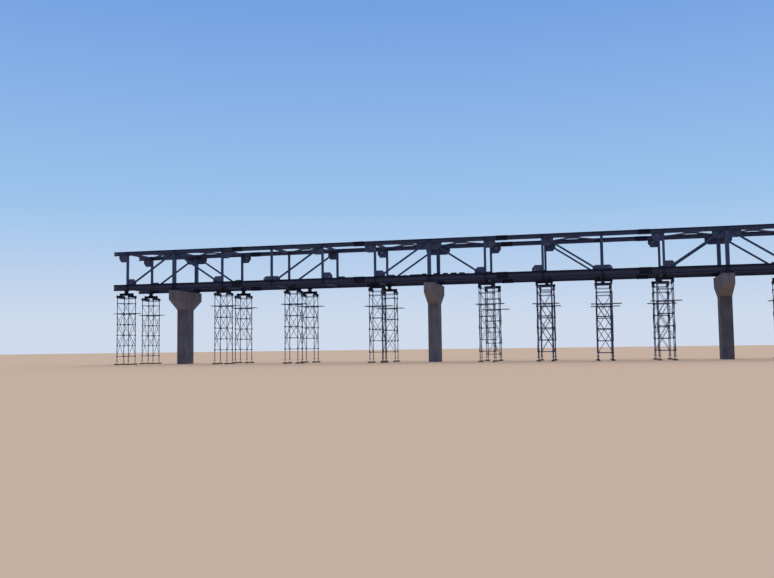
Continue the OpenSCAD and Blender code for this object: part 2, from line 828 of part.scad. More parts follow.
pier_shaft_left();
pier_shaft_middle();
pier_shaft_right();
pier_cap_left();
pier_cap_middle();
pier_cap_right();
bearing_plates();
bearing_pads();
near_bottom_chord();
far_bottom_chord();
near_top_chord();
far_top_chord();
near_posts();
far_posts();
near_pier_posts();
far_pier_posts();
near_diagonals();
far_diagonals();
near_top_gussets();
far_top_gussets();
near_bottom_gussets();
far_bottom_gussets();
near_splice_plates();
far_splice_plates();
floor_beams();
top_struts();
top_laterals();
bottom_laterals();
shoring_towers_1();
shoring_towers_2();
shoring_towers_3();
shoring_towers_4();
shoring_towers_5();
shoring_towers_6();
shoring_towers_7();
shoring_towers_8();
shoring_towers_9();
tower_cross_beams();
tower_header_beams();
steel_packs();
work_planks();
timber_sills();
chord_blocks();
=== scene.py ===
# %% [markdown]
# # A steel pipe bridge at half size
# The bridge is two parallel side trusses on three concrete piers, held up between the piers
# by towers of shoring tube. Its construction comes finished from a CAD model. This lesson adds
# what CAD leaves out: paint, rust, concrete and timber, and the small pieces that make a steel
# structure look built, such as bolts, weld beads, wedges and boards.

# %% Load the model and keep its box
import math
from collections import namedtuple

import bpy
import numpy as np
from mathutils import Matrix, Vector


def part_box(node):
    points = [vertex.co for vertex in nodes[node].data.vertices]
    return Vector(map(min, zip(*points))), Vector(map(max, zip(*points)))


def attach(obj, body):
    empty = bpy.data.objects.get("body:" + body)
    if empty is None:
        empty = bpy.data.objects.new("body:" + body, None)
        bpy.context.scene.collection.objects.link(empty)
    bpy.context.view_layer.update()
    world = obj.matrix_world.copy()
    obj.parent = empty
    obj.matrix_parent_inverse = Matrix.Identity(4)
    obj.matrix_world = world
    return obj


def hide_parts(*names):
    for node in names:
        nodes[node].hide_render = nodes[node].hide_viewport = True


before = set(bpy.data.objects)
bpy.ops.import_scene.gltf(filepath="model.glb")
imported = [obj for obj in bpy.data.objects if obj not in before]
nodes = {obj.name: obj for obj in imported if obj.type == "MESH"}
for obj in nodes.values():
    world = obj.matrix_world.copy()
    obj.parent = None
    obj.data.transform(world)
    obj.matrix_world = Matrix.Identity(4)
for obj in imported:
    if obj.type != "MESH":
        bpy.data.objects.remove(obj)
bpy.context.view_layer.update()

# %% [markdown]
# ## Where things are
# Pieces are drawn in millimetres, as on a workshop drawing, and only the last step turns them
# into Blender's metres. Every place that the model can tell is read from it, so the dressing
# follows the model if it changes.

# %% Panel, trusses and chords, in millimetres
MM = 0.001
PANELS_PER_SPAN = 5
SIDES = {"near": -1, "far": 1}


def corners_of(node):
    return [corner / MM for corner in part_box(node)]


def middle(node):
    low, high = corners_of(node)
    return (low + high) / 2


def on_both_sides(*names):
    return [side + "_" + name for side in SIDES for name in names]


pier_x = {side: middle("pier_shaft_" + side).x for side in ("left", "middle", "right")}
panel = (pier_x["right"] - pier_x["left"]) / (2 * PANELS_PER_SPAN)
truss_y = {side: middle(side + "_bottom_chord").y for side in SIDES}
bottom_low, bottom_high = (corner.z for corner in corners_of("near_bottom_chord"))
top_low, top_high = (corner.z for corner in corners_of("near_top_chord"))
bottom_axis = (bottom_low + bottom_high) / 2
top_axis = (top_low + top_high) / 2
panel_points = range(-PANELS_PER_SPAN - 1, PANELS_PER_SPAN + 2)
print(f"panel {panel:.0f}, trusses at {truss_y}, chords {bottom_low:.0f} to {top_high:.0f}")

# %% [markdown]
# ## Camera
# At the model's size, the photograph was taken low over the ground, 37 m before the bridge and
# 7 m right of the middle pier. A camera can be placed by eye, but a long truss shows every
# pixel of error, so the place, the turns and the focal length were solved from the panel
# points. The focal length is in pixels of a frame 774 wide, so the lens is that share of the
# sensor's width.

# %% Camera at the photograph's place
PHOTO_WIDTH = 774
FOCAL_PIXELS = 839
SENSOR_MM = 36
SIGHT_METRES = 600
EYE = Vector((6.782, -36.982, 0.609))
YAW_LEFT, PITCH_UP, ROLL = (math.radians(a) for a in (13.63, 4.07, 0.71))

camera_data = bpy.data.cameras.new("site_camera")
camera_data.sensor_width = SENSOR_MM
camera_data.lens = SENSOR_MM * FOCAL_PIXELS / PHOTO_WIDTH
camera_data.clip_end = SIGHT_METRES
camera = bpy.data.objects.new("site_camera", camera_data)
camera.matrix_world = (Matrix.Translation(EYE) @ Matrix.Rotation(YAW_LEFT, 4, "Z")
    @ Matrix.Rotation(math.pi / 2 + PITCH_UP, 4, "X") @ Matrix.Rotation(-ROLL, 4, "Z"))
scene = bpy.context.scene
scene.collection.objects.link(camera)
scene.camera = camera
print(f"lens {camera_data.lens:.2f} mm, eye at {tuple(EYE)}")

# %% [markdown]
# ## Colour and nodes
# Colours are written as the hex values that a painter's chart gives. The shaders work in
# linear light, so one function turns a hex value into linear numbers. A second function adds
# a shader node, sets it and wires it up in one call, and an input that is a node gets that
# node's first output. Noise textures take a number of waves per metre, so `waves` turns a
# pattern's real size in millimetres into that number. Nearly every finish is a base colour
# with others laid over it, which `layered` builds.

# %% Helpers for every material
def linear(hex_code):
    values = [int(hex_code[i:i + 2], 16) / 255 for i in (1, 3, 5)]
    return [v / 12.92 if v <= 0.04045 else ((v + 0.055) / 1.055) ** 2.4 for v in values] + [1]


def add(tree, kind, inputs, **settings):
    node = tree.nodes.new("ShaderNode" + kind)
    for name, value in settings.items():
        setattr(node, name, value)
    for key, value in inputs.items():
        if isinstance(value, bpy.types.Node):
            value = value.outputs[0]
        if isinstance(value, bpy.types.NodeSocket):
            tree.links.new(value, node.inputs[key])
        else:
            node.inputs[key].default_value = value
    return node


def waves(size_mm):
    return 1 / (size_mm * MM)


# Each layer is a mask and the hex code of the colour that shows where the mask is 1
def layered(tree, base, *layers):
    colour = linear(base)
    for mask, hex_code in layers:
        colour = add(tree, "Mix", {0: mask, 6: colour, 7: linear(hex_code)},
            data_type="RGBA").outputs[2]
    return colour


def blank_finish(name):
    material = bpy.data.materials.new(name)
    material.use_nodes = True
    material.node_tree.nodes.clear()
    return material, material.node_tree


print("linear mid grey:", [round(v, 3) for v in linear("#808080")])

# %% [markdown]
# ## Light, sky and floor
# On the site the sun stands high behind the bridge, so the faces towards the viewer lie in
# even shade and the sandy ground throws warm light on every underside. A hard sun would give
# crisp shadows that the shaded side never shows. A pale blue sky, brighter on the sun's side,
# and one weak, warm and very wide sun repeat that place as soft studio light. What the camera
# sees behind the bridge is a surround that is pale at the horizon and bluer above it. Only
# camera, glossy and transmission rays meet it, so it lights nothing but shows in gloss.

# %% Surround
SHADY_STRENGTH, SUNNY_STRENGTH = 0.62, 1.15
HAZE_HEIGHTS = (0.03, 0.17, 0.4)
scene.view_settings.view_transform = "Standard"
world = bpy.data.worlds.new("pale_surround")
world.use_nodes = True
scene.world = world
sky = world.node_tree
sky.nodes.clear()
path = add(sky, "LightPath", {})
seen = add(sky, "Math", {0: path.outputs["Is Camera Ray"], 1: path.outputs["Is Glossy Ray"]},
    operation="ADD")
seen = add(sky, "Math", {0: seen, 1: path.outputs["Is Transmission Ray"]},
    operation="ADD", use_clamp=True)
direction = add(sky, "TexCoord", {}).outputs["Generated"]
_, beyond, above = add(sky, "SeparateXYZ", {0: direction}).outputs
strength = add(sky, "MapRange", {0: beyond, 1: -1, 2: 1, 3: SHADY_STRENGTH,
    4: SUNNY_STRENGTH})
sky_light = add(sky, "Background", {"Color": linear("#d9e5ff"), "Strength": strength})
lower_climb, upper_climb = [add(sky, "MapRange", {0: above, 1: low, 2: high})
    for low, high in zip(HAZE_HEIGHTS, HAZE_HEIGHTS[1:])]
haze = layered(sky, "#cfdbed", (lower_climb, "#9bc3ec"), (upper_climb, "#719fe1"))
backdrop = add(sky, "Background", {"Color": haze, "Strength": 1})
blend = add(sky, "MixShader", {0: seen, 1: sky_light, 2: backdrop})
add(sky, "OutputWorld", {"Surface": blend})
print("sky light from", SHADY_STRENGTH, "to", SUNNY_STRENGTH, "on the sun's side")

# %% Sun
SUN_WATTS, SUN_SPREAD = 1.15, 50
SUN_TURNS = (-40, -9, 0)
sun_data = bpy.data.lights.new("hazy_sun", "SUN")
sun_data.energy = SUN_WATTS
sun_data.color = linear("#fff1dc")[:3]
sun_data.angle = math.radians(SUN_SPREAD)
sun = bpy.data.objects.new("hazy_sun", sun_data)
sun.rotation_euler = [math.radians(turn) for turn in SUN_TURNS]
scene.collection.objects.link(sun)
print("sun of", SUN_WATTS, "W per square metre from behind")

# %% Floor
FLOOR_RADIUS = 480
FLOOR_SIDES = 120
turns = [2 * math.pi * i / FLOOR_SIDES for i in range(FLOOR_SIDES)]
floor_mesh = bpy.data.meshes.new("pale_floor")
floor_mesh.from_pydata([(FLOOR_RADIUS * math.cos(turn), FLOOR_RADIUS * math.sin(turn), 0)
    for turn in turns], [], [tuple(range(FLOOR_SIDES))])
floor = bpy.data.objects.new("pale_floor", floor_mesh)
scene.collection.objects.link(floor)

floor_finish, tree = blank_finish("matt_studio_floor")
matt = add(tree, "BsdfDiffuse", {"Color": linear("#cfb59c")})
add(tree, "OutputMaterial", {"Surface": matt})
floor_mesh.materials.append(floor_finish)
print("floor", 2 * FLOOR_RADIUS, "m wide")

# %% [markdown]
# ## Forms made of numbers
# Thousands of bolts and clamps would be slow to model one by one with Blender's own tools,
# and instances of one object would reach an export as thousands of objects. So each kind is
# drawn once, as arrays of points and faces, and then copied to all its places at once. A loft
# joins a row of equal outlines, and bars, slabs and turned pieces are all lofts.

# %% Lofts and what is made of them
Form = namedtuple("Form", "points corners sizes")


def lofted(rings):
    rings = np.asarray(rings, dtype=float)
    count, around = rings.shape[:2]
    here = np.arange(around)
    following = np.roll(here, -1)
    first = (np.arange(count - 1) * around)[:, None]
    walls = np.stack([first + here, first + following, first + following + around,
        first + here + around], axis=-1)
    ends = np.concatenate([here[::-1], (count - 1) * around + here])
    return Form(rings.reshape(-1, 3), np.concatenate([walls.ravel(), ends]),
        np.array([4] * ((count - 1) * around) + [around, around]))


def bar(outline, length):
    start = np.column_stack([np.zeros(len(outline)), np.asarray(outline, dtype=float)])
    return lofted([start, start + (length, 0, 0)])


def slab(outline, low, high):
    outline = np.asarray(outline, dtype=float)
    level = np.ones(len(outline))
    return lofted([np.column_stack([outline, z * level]) for z in (low, high)])


def turned(profile, sides):
    angle = 2 * np.pi * (np.arange(sides) + 0.5) / sides
    ring = np.column_stack([np.cos(angle), np.sin(angle), np.zeros(sides)])
    return lofted([ring * radius + (0, 0, z) for radius, z in profile])


rod = turned([(12, 0), (12, 500)], 8)
print("a rod of 8 sides has", len(rod.points), "points and", len(rod.sizes), "faces")

# %% Blocks with eased edges
def cut_rectangle(along, across, cut):
    x, y = along / 2, across / 2
    return np.array([(cut - x, -y), (x - cut, -y), (x, cut - y), (x, y - cut), (x - cut, y),
        (cut - x, y), (-x, y - cut), (-x, cut - y)])


def eased_block(along, across, high, ease):
    inner = cut_rectangle(along - 2 * ease, across - 2 * ease, ease)
    outer = cut_rectangle(along, across, ease)
    return lofted([np.column_stack([outline, np.full(8, z)]) for outline, z in
        ((inner, 0), (outer, ease), (outer, high - ease), (inner, high))])


print("an eased block has", len(eased_block(40, 30, 20, 2).sizes), "faces")

# %% Copies, joins and aims
def copies(form, places):
    matrices = np.array([np.array(place) for place in places])
    points = np.einsum("kij,nj->kni", matrices[:, :3, :3], form.points)
    points += matrices[:, None, :3, 3]
    shift = (np.arange(len(matrices)) * len(form.points))[:, None]
    return Form(points.reshape(-1, 3), (form.corners + shift).ravel(),
        np.tile(form.sizes, len(matrices)))


def joined(forms):
    starts = np.cumsum([0] + [len(form.points) for form in forms[:-1]])
    return Form(np.concatenate([form.points for form in forms]),
        np.concatenate([form.corners + start for form, start in zip(forms, starts)]),
        np.concatenate([form.sizes for form in forms]))


def at(x, y, z, turn=0, axis="Z"):
    return Matrix.Translation((x, y, z)) @ Matrix.Rotation(math.radians(turn), 4, axis)


def between(start, end):
    run = Vector(end) - Vector(start)
    return Matrix.Translation(start) @ run.to_track_quat("Z", "Y").to_matrix().to_4x4()


def straight_rod(start, end, radius, sides):
    length = (Vector(end) - Vector(start)).length
    return copies(turned([(radius, 0), (radius, length)], sides), [between(start, end)])


print("ten copies have", len(copies(rod, [at(50 * i, 0, 0) for i in range(10)]).sizes), "faces")

# %% One mesh object from several forms
# Each form keeps one random number on its faces, so a finish can tell board from board
tone_chance = np.random.default_rng(11)


def make_piece(name, parts, replaces=(), smooth_angle=35):
    whole = joined([form for form, _ in parts])
    mesh = bpy.data.meshes.new(name)
    mesh.vertices.add(len(whole.points))
    mesh.vertices.foreach_set("co", (whole.points * MM).ravel())
    mesh.loops.add(len(whole.corners))
    mesh.loops.foreach_set("vertex_index", whole.corners)
    mesh.polygons.add(len(whole.sizes))
    mesh.polygons.foreach_set("loop_start", np.cumsum(whole.sizes) - whole.sizes)
    finishes = list(dict.fromkeys(finish for _, finish in parts))
    mesh.polygons.foreach_set("material_index", np.concatenate(
        [np.full(len(form.sizes), finishes.index(finish)) for form, finish in parts]))
    for finish in finishes:
        mesh.materials.append(finish)
    tones = tone_chance.uniform(0, 1, len(parts))
    mesh.attributes.new("tone", "FLOAT", "FACE").data.foreach_set("value", np.repeat(tones,
        [len(form.sizes) for form, _ in parts]))
    mesh.update(calc_edges=True)
    mesh.polygons.foreach_set("use_smooth", np.ones(len(whole.sizes), dtype=bool))
    mesh.set_sharp_from_angle(angle=math.radians(smooth_angle))
    piece = bpy.data.objects.new(name, mesh)
    scene.collection.objects.link(piece)
    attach(piece, "root")
    if replaces:
        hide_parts(*replaces)
    print(f"{name}: {np.sum(whole.sizes - 2)} triangles")


def dress(finish, *names):
    for name in names:
        for place in nodes[name].material_slots:
            place.material = finish
    print(finish.name, "on", ", ".join(names))


# %% [markdown]
# ## Paint on the trusses
# The trusses are hot-rolled steel under a thin alkyd shop coat, sprayed in the yard. It dries
# to a dull navy grey. On the site, dust settles on what faces up, rain draws it down the webs
# in pale runs, and spots of rust come through where the coat is thin. A painted image could
# hold these marks, but it would need an unwrapped mesh and blur close up. Noise in real sizes
# fits every piece as it is. One function mixes it for all painted steel, since chords,
# gussets and splices differ only in tone, dust and rust.

# %% Blotches and a finished surface
# A finish is mixed from each point's own place on the piece, in metres
def placed_finish(name):
    finish, tree = blank_finish(name)
    return finish, tree, add(tree, "TexCoord", {}).outputs["Object"]


# 1 where a face looks straight up, 0 on a wall and -1 on an underside
def upwardness(tree):
    facing = add(tree, "NewGeometry", {}).outputs["Normal"]
    return add(tree, "SeparateXYZ", {0: facing}).outputs[2]


# Noise between two levels gives blotches: 0 below the first, the full share above the second
def blotches(tree, where, size_mm, low, high, share=1, detail=5, roughness=0.5):
    noise = add(tree, "TexNoise", {"Vector": where, "Scale": waves(size_mm),
        "Detail": detail, "Roughness": roughness})
    return add(tree, "MapRange", {0: noise, 1: low, 2: high, 4: share})


# Rain runs are blotches stretched downwards. Their coordinates count runs, not metres, so
# the noise on them keeps one wave to a unit
ONE_WAVE = 1 / MM


def running_down(tree, where, wide_mm, long_mm):
    scale = (waves(wide_mm), waves(wide_mm), waves(long_mm))
    return add(tree, "Mapping", {"Vector": where, "Scale": scale})


def surfaced(finish, tree, colour, roughness, height, relief_mm, relief_share, sockets):
    relief = add(tree, "Bump", {"Height": height, "Strength": relief_share,
        "Distance": relief_mm * MM})
    surface = add(tree, "BsdfPrincipled", {"Base Color": colour, "Roughness": roughness,
        "Normal": relief, **sockets})
    add(tree, "OutputMaterial", {"Surface": surface})
    return finish


print("a pattern of 600 mm has", round(waves(600), 2), "waves per metre")

# %% Rubbed edges, and the band of dust and painted light along a chord's web
# The Bevel node gives the normal of a rounded edge, and it parts from the true one only there
def rubbed_edges(tree, where, radius, chip_size):
    rounded = add(tree, "Bevel", {"Radius": radius * MM}, samples=4)
    true_normal = add(tree, "NewGeometry", {}).outputs["Normal"]
    alike = add(tree, "VectorMath", {0: rounded, 1: true_normal}, operation="DOT_PRODUCT")
    edge = add(tree, "MapRange", {0: alike.outputs["Value"], 1: 0.99, 2: 0.88})
    chips = blotches(tree, where, chip_size, 0.42, 0.6)
    return add(tree, "Math", {0: edge, 1: chips}, operation="MULTIPLY")


# Dust and painted light lie in a band on the web alone: the flanges keep the darker coat as
# painted shade, and the web's top stays dark as painted shade under the top flange. The web is
# the part less than 12 to 35 mm from the truss's middle plane. The band fades out over 50 mm
# above and below
def distance_from(tree, value, place):
    away = add(tree, "Math", {0: value, 1: place * MM}, operation="SUBTRACT")
    return add(tree, "Math", {0: away}, operation="ABSOLUTE")


def dust_and_painted_light_band(tree, where, level, half_high):
    _, across, up = add(tree, "SeparateXYZ", {0: where}).outputs
    mirrored = add(tree, "Math", {0: across}, operation="ABSOLUTE")
    on_web = add(tree, "MapRange", {0: distance_from(tree, mirrored, truss_y["far"]),
        1: 35 * MM, 2: 12 * MM})
    lit_and_dusty_band = add(tree, "MapRange", {0: distance_from(tree, up, level),
        1: (half_high + 30) * MM, 2: (half_high - 20) * MM})
    return add(tree, "Math", {0: on_web, 1: lit_and_dusty_band}, operation="MULTIPLY")


# Each band is partly dust and partly painted light
print("dusty bands on the webs,", truss_y["far"], "mm either side of the middle")

# %% Alkyd shop coat
def shop_coat(name, coat, worn_coat, dust, dust_share, rust_share, lit_and_dusty_band=None):
    finish, tree, where = placed_finish(name)
    # Spray passes overlap in patches about 600 mm across
    layers = [(blotches(tree, where, 600, 0.36, 0.64), worn_coat)]
    # The web's band is partly dust and partly painted light, lighter than the flanges' painted
    # shade
    if lit_and_dusty_band:
        lit_and_dusty_web_coat, level, half_high = lit_and_dusty_band
        layers.append((dust_and_painted_light_band(tree, where, level, half_high), lit_and_dusty_web_coat))
    # Rain runs are up to 70 mm wide and as long as the piece is deep
    runs = running_down(tree, where, 70, 900)
    layers.append((blotches(tree, runs, ONE_WAVE, 0.5, 0.75, 0.6 * dust_share, 3), dust))
    # Wind-blown sand lies on every face that looks up, in drifts about 180 mm across
    looks_up = add(tree, "MapRange", {0: upwardness(tree), 1: 0.4, 2: 0.95})
    drifts = blotches(tree, where, 180, 0.34, 0.66, 1.5 * dust_share, 8)
    sand = add(tree, "Math", {0: looks_up, 1: drifts}, operation="MULTIPLY")
    spots = blotches(tree, where, 85, 0.66 - rust_share, 0.72, detail=9, roughness=0.7)
    # Slings and spanners rub the edges down to the grey primer
    colour = layered(tree, coat, *layers, (sand, "#8a7f73"), (spots, "#3b241b"),
        (rubbed_edges(tree, where, 4, 45), "#5a5c62"))
    rough = add(tree, "MapRange", {0: sand, 3: 0.62, 4: 0.95})
    # Orange peel is 2 to 4 mm across
    peel = add(tree, "TexNoise", {"Vector": where, "Scale": waves(3.5), "Detail": 2})
    height = add(tree, "Math", {0: spots, 1: peel}, operation="ADD")
    return surfaced(finish, tree, colour, rough, height, 0.6, 0.25,
        {"IOR": 1.45, "Specular IOR Level": 0.25})


# A chord coat's last colour is its web band, partly dust and partly painted light
chord_coat = shop_coat("navy_alkyd_on_chords", "#09173b", "#101f42", "#444250", 0.35, 0.05,
    ("#35394d", bottom_axis - 14, 68))
upper_coat = shop_coat("navy_alkyd_on_top_chords", "#1a3159", "#23385f", "#464b5a", 0.4, 0.03,
    ("#3b435f", top_axis - 14, 52))
member_coat = shop_coat("blue_alkyd_on_posts", "#2b4063", "#36496a", "#4b515f", 0.3, 0.03)
gusset_coat = shop_coat("dusty_alkyd_on_gussets", "#334163", "#424961", "#5c5a64", 0.55, 0.07)
bracing_coat = shop_coat("purple_primer_on_bracing", "#333a57", "#434057", "#5a515c", 0.5, 0.1)
splice_coat = shop_coat("black_zinc_coat_on_splices", "#060b1e", "#0b1127", "#1e2130", 0.25,
    0.04)
dress(chord_coat, *on_both_sides("bottom_chord"))
dress(upper_coat, *on_both_sides("top_chord"), "top_struts")
dress(member_coat, *on_both_sides("posts", "pier_posts", "diagonals"), "floor_beams")
dress(gusset_coat, *on_both_sides("top_gussets", "bottom_gussets"))
dress(splice_coat, *on_both_sides("splice_plates"))
dress(bracing_coat, "top_laterals", "bottom_laterals")

# %% [markdown]
# ## Concrete
# The piers are cast in boarded forms. The skin that a form leaves is smooth and grey, with
# pinholes from air bubbles and brown water marks under every edge. The sloping undersides
# are painted paler and faintly brown as painted light, the warm bounce from the sandy ground.
# Cast concrete has no shine at all. A photograph of concrete would repeat on each pier, so
# noise in the model's own space is used, which gives each pier marks of its own.

# %% Form-cast concrete
def cast_concrete(name, pale, dark, bounce_lit_underside="#938d8e"):
    finish, tree, where = placed_finish(name)
    # Damp and dry patches are about half a metre across
    patches = blotches(tree, where, 520, 0.34, 0.66, detail=7, roughness=0.62)
    runs = blotches(tree, running_down(tree, where, 95, 1500), ONE_WAVE, 0.48, 0.7, 0.6)
    # Undersides are painted paler and browner: painted bounce light from the sandy ground
    painted_bounce_light = add(tree, "MapRange", {0: upwardness(tree), 1: -0.12, 2: -0.35, 4: 0.4})
    # Pinholes are 4 to 8 mm across, and real ones a little less. They come in crowds
    holes = add(tree, "TexVoronoi", {"Vector": where, "Scale": waves(38)})
    holes = add(tree, "MapRange", {0: holes, 1: 0.05, 2: 0.11, 3: 1, 4: 0})
    crowded = blotches(tree, where, 240, 0.47, 0.56, detail=4)
    holes = add(tree, "Math", {0: holes, 1: crowded}, operation="MULTIPLY")
    # The arris crumbles to paler mortar
    colour = layered(tree, pale, (patches, dark), (runs, "#4a403c"), (painted_bounce_light, bounce_lit_underside),
        (holes, "#2b2827"), (rubbed_edges(tree, where, 9, 70), "#8d8683"))
    skin = add(tree, "TexNoise", {"Vector": where, "Scale": waves(9), "Detail": 8})
    height = add(tree, "Math", {0: skin, 1: holes}, operation="SUBTRACT")
    return surfaced(finish, tree, colour, 0.93, height, 2, 0.5,
        {"Specular IOR Level": 0.2})


# Each pier has greys of its own, a little different from the others'.
# A cap has three of them, the third the painted bounce light on its undersides, and a shaft two
pier_greys = {"left": ("#716f79", "#585863", "#878a9c", "#656672", "#50525f"),
    "middle": ("#74727b", "#5b5b66", "#938d8e", "#6c6c78", "#575966"),
    "right": ("#6e6d76", "#555560", "#938b80", "#60616d", "#4c4e5a")}
shaft_concrete = {}
for side, greys in pier_greys.items():
    dress(cast_concrete("form_cast_cap_concrete_" + side, *greys[:3]), "pier_cap_" + side)
    shaft_concrete[side] = cast_concrete("form_cast_shaft_concrete_" + side, *greys[3:])
    dress(shaft_concrete[side], "pier_shaft_" + side)

# %% [markdown]
# ## Steel of the shoring
# Shoring tube is dipped in enamel and lives outdoors for years. It keeps a dull blue-grey coat
# with grey splashes of cement, and rust where clamps have rubbed. Its wedge heads are zinc
# castings, so they are paler and never painted. A mirror-bright metal would be easier to mix,
# but only a dull one with blotches looks used. One function mixes it for all the small steel.

# %% Scaffold tube and its castings
def scaffold_finish(name, coat, worn_coat, rust_share, metallic, roughness):
    finish, tree, where = placed_finish(name)
    # The tone changes from tube to tube, so the patches are as long as one tube
    patches = blotches(tree, where, 700, 0.36, 0.64, detail=4)
    # Cement splashes are 5 to 15 mm across
    splashes = blotches(tree, where, 22, 0.66, 0.7, 0.6, detail=4)
    rust = blotches(tree, where, 60, 0.68 - rust_share, 0.74, detail=8, roughness=0.7)
    colour = layered(tree, coat, (patches, worn_coat), (splashes, "#5d5b5c"),
        (rust, "#3d241c"))
    rough = add(tree, "MapRange", {0: rust, 3: roughness, 4: 0.9})
    skin = add(tree, "TexNoise", {"Vector": where, "Scale": waves(4), "Detail": 3})
    return surfaced(finish, tree, colour, rough, skin, 0.4, 0.2,
        {"Metallic": metallic})


tube_enamel = scaffold_finish("blue_grey_enamelled_tube", "#25355a", "#334164", 0.03, 0, 0.5)
zinc_casting = scaffold_finish("weathered_zinc_casting", "#374059", "#474c5f", 0.05, 0.7, 0.55)
spindle_steel = scaffold_finish("greased_spindle_steel", "#2a2624", "#3a2f29", 0.1, 0.6, 0.45)
print(tube_enamel.name, zinc_casting.name, spindle_steel.name)

# %% [markdown]
# ## Shoring towers
# A tower is four standards of tube, tied at every lift by a ring of ledgers and stiffened by
# crossing braces. The model has them as plain bars of few sides. The dressed towers replace
# them with round tube, sleeves where one standard plugs into the next, rosettes, cast wedge
# heads and threaded jacks. Array modifiers could repeat a lift, but the lifts differ from
# line to line, so each kind of part is drawn once and copied to every joint.

# %% Levels of a tower
# The legs stand 600 mm apart, and rings of ledgers tie them every 500 mm
HALF_LEGS = 300
FIRST_RING, LIFT = 400, 500
TOP_RING_DROP, RING_CLEAR, BRACE_CLEAR = 30, 24, 10
LEG_FOOT = 185
PLATE_WIDE, PLATE_THICK = 116, 9
sill_top = corners_of("timber_sills")[1].z
leg_top = corners_of("tower_cross_beams")[0].z - PLATE_THICK
top_ring = leg_top - TOP_RING_DROP
tower_x = {line: middle(f"shoring_towers_{line}").x for line in range(1, 10)}
towers = [(line, side) for line in tower_x for side in SIDES]
spots = {(line, side): at(tower_x[line], truss_y[side], 0) for line, side in towers}
CORNERS = [(x, y) for x in (-1, 1) for y in (-1, 1)]
# For each line: how many lifts the rings sit higher, and where the first braces rise
RING_SHIFTS = {"near": (0, 0.5, 0.5, 0.13, 0.08, 0, -0.14, 0, 0),
    "far": (0, 0.5, 0.5, 0.13, -0.2, 0, -0.14, 0, 0)}
BRACE_FEET = {"near": (1, 1, 1, 1, 1, 1, 0, 1, 1), "far": (1, 1, 1, 0, 0, 0, 1, 0, 0)}


def ring_heights(line, side):
    first = FIRST_RING + RING_SHIFTS[side][line - 1] * LIFT
    return list(np.arange(first, top_ring - RING_CLEAR, LIFT)) + [top_ring]


def brace_spans(rings, foot):
    return [(low, low + 2 * LIFT) for low in rings[foot:-1:2]
        if low + 2 * LIFT < leg_top - BRACE_CLEAR]


print("rings of line 5:", [round(z) for z in ring_heights(5, "near")])

# %% A leg with its sleeves, jack and plates
LEG_RADIUS, SLEEVE_RADIUS = 17, 20
SPINDLE_RADIUS, THREAD_DEPTH, THREAD_PITCH = 12, 1.6, 8
SLEEVES, SLEEVE_HIGH, PIN_REACH = (1130, 2120), 90, 26
FORK_GAP, FORK_THICK, FORK_HIGH, FORK_LONG = 37, 6, 45, 90
NAIL_REACH, COLLAR_HIGH, NUT_DROP = 45, 36, 24


def threaded(radius, low, high):
    heights = np.arange(low, high, THREAD_PITCH / 2)
    return turned([(radius - THREAD_DEPTH * (i % 2), z) for i, z in enumerate(heights)], 10)


standard_profile = [(LEG_RADIUS - 1, LEG_FOOT), (LEG_RADIUS, LEG_FOOT + 1)]
for low in SLEEVES:
    high = low + SLEEVE_HIGH
    standard_profile += [(LEG_RADIUS, low), (SLEEVE_RADIUS, low + 1),
        (SLEEVE_RADIUS, high - 1), (LEG_RADIUS, high)]
standard_profile += [(LEG_RADIUS, leg_top - COLLAR_HIGH - 2),
    (LEG_RADIUS + 4, leg_top - COLLAR_HIGH), (LEG_RADIUS + 4, leg_top)]
standard = turned(standard_profile, 16)
sleeve_pins = joined([straight_rod((-PIN_REACH, 0, z + SLEEVE_HIGH / 2),
    (PIN_REACH, 0, z + SLEEVE_HIGH / 2), 4, 6) for z in SLEEVES])
plate = eased_block(PLATE_WIDE, PLATE_WIDE, PLATE_THICK, 1.5)
foot_plate, head_plate = (copies(plate, [at(0, 0, z)]) for z in (sill_top, leg_top))
nail_heads = copies(turned([(5, 0), (5, 1.5), (3, 2.5)], 8),
    [at(NAIL_REACH * x, NAIL_REACH * y, sill_top + PLATE_THICK) for x, y in CORNERS])
fork_flaps = copies(eased_block(FORK_THICK, FORK_LONG, FORK_HIGH, 1.2),
    [at(side * (FORK_GAP + FORK_THICK / 2), 0, leg_top + PLATE_THICK) for side in (-1, 1)])
spindle = threaded(SPINDLE_RADIUS, sill_top + PLATE_THICK, LEG_FOOT + 4)
wing_nut = joined([copies(turned([(19, 0), (23, 3), (23, 20), (19, 23)], 8),
    [at(0, 0, LEG_FOOT - NUT_DROP)]), copies(eased_block(34, 12, 14, 2),
    [at(side * 36, 0, LEG_FOOT - NUT_DROP + 5) for side in (-1, 1)])])
print("one standard is", leg_top - LEG_FOOT, "mm long")

# %% Rosettes, ledgers and braces
# One brace of a crossing pair lies a step further out than the other
LEDGER_RADIUS, BRACE_RADIUS = 12, 10
BRACE_PLANE, BRACE_STEP = HALF_LEGS + 23.5, 6
HEAD_LONG, HEAD_WIDE, HEAD_HIGH = 27, 24, 46
LOBES, LOBE_TIP, LOBE_ROOT, ROSETTE_HALF = 16, 30, 26, 2.5

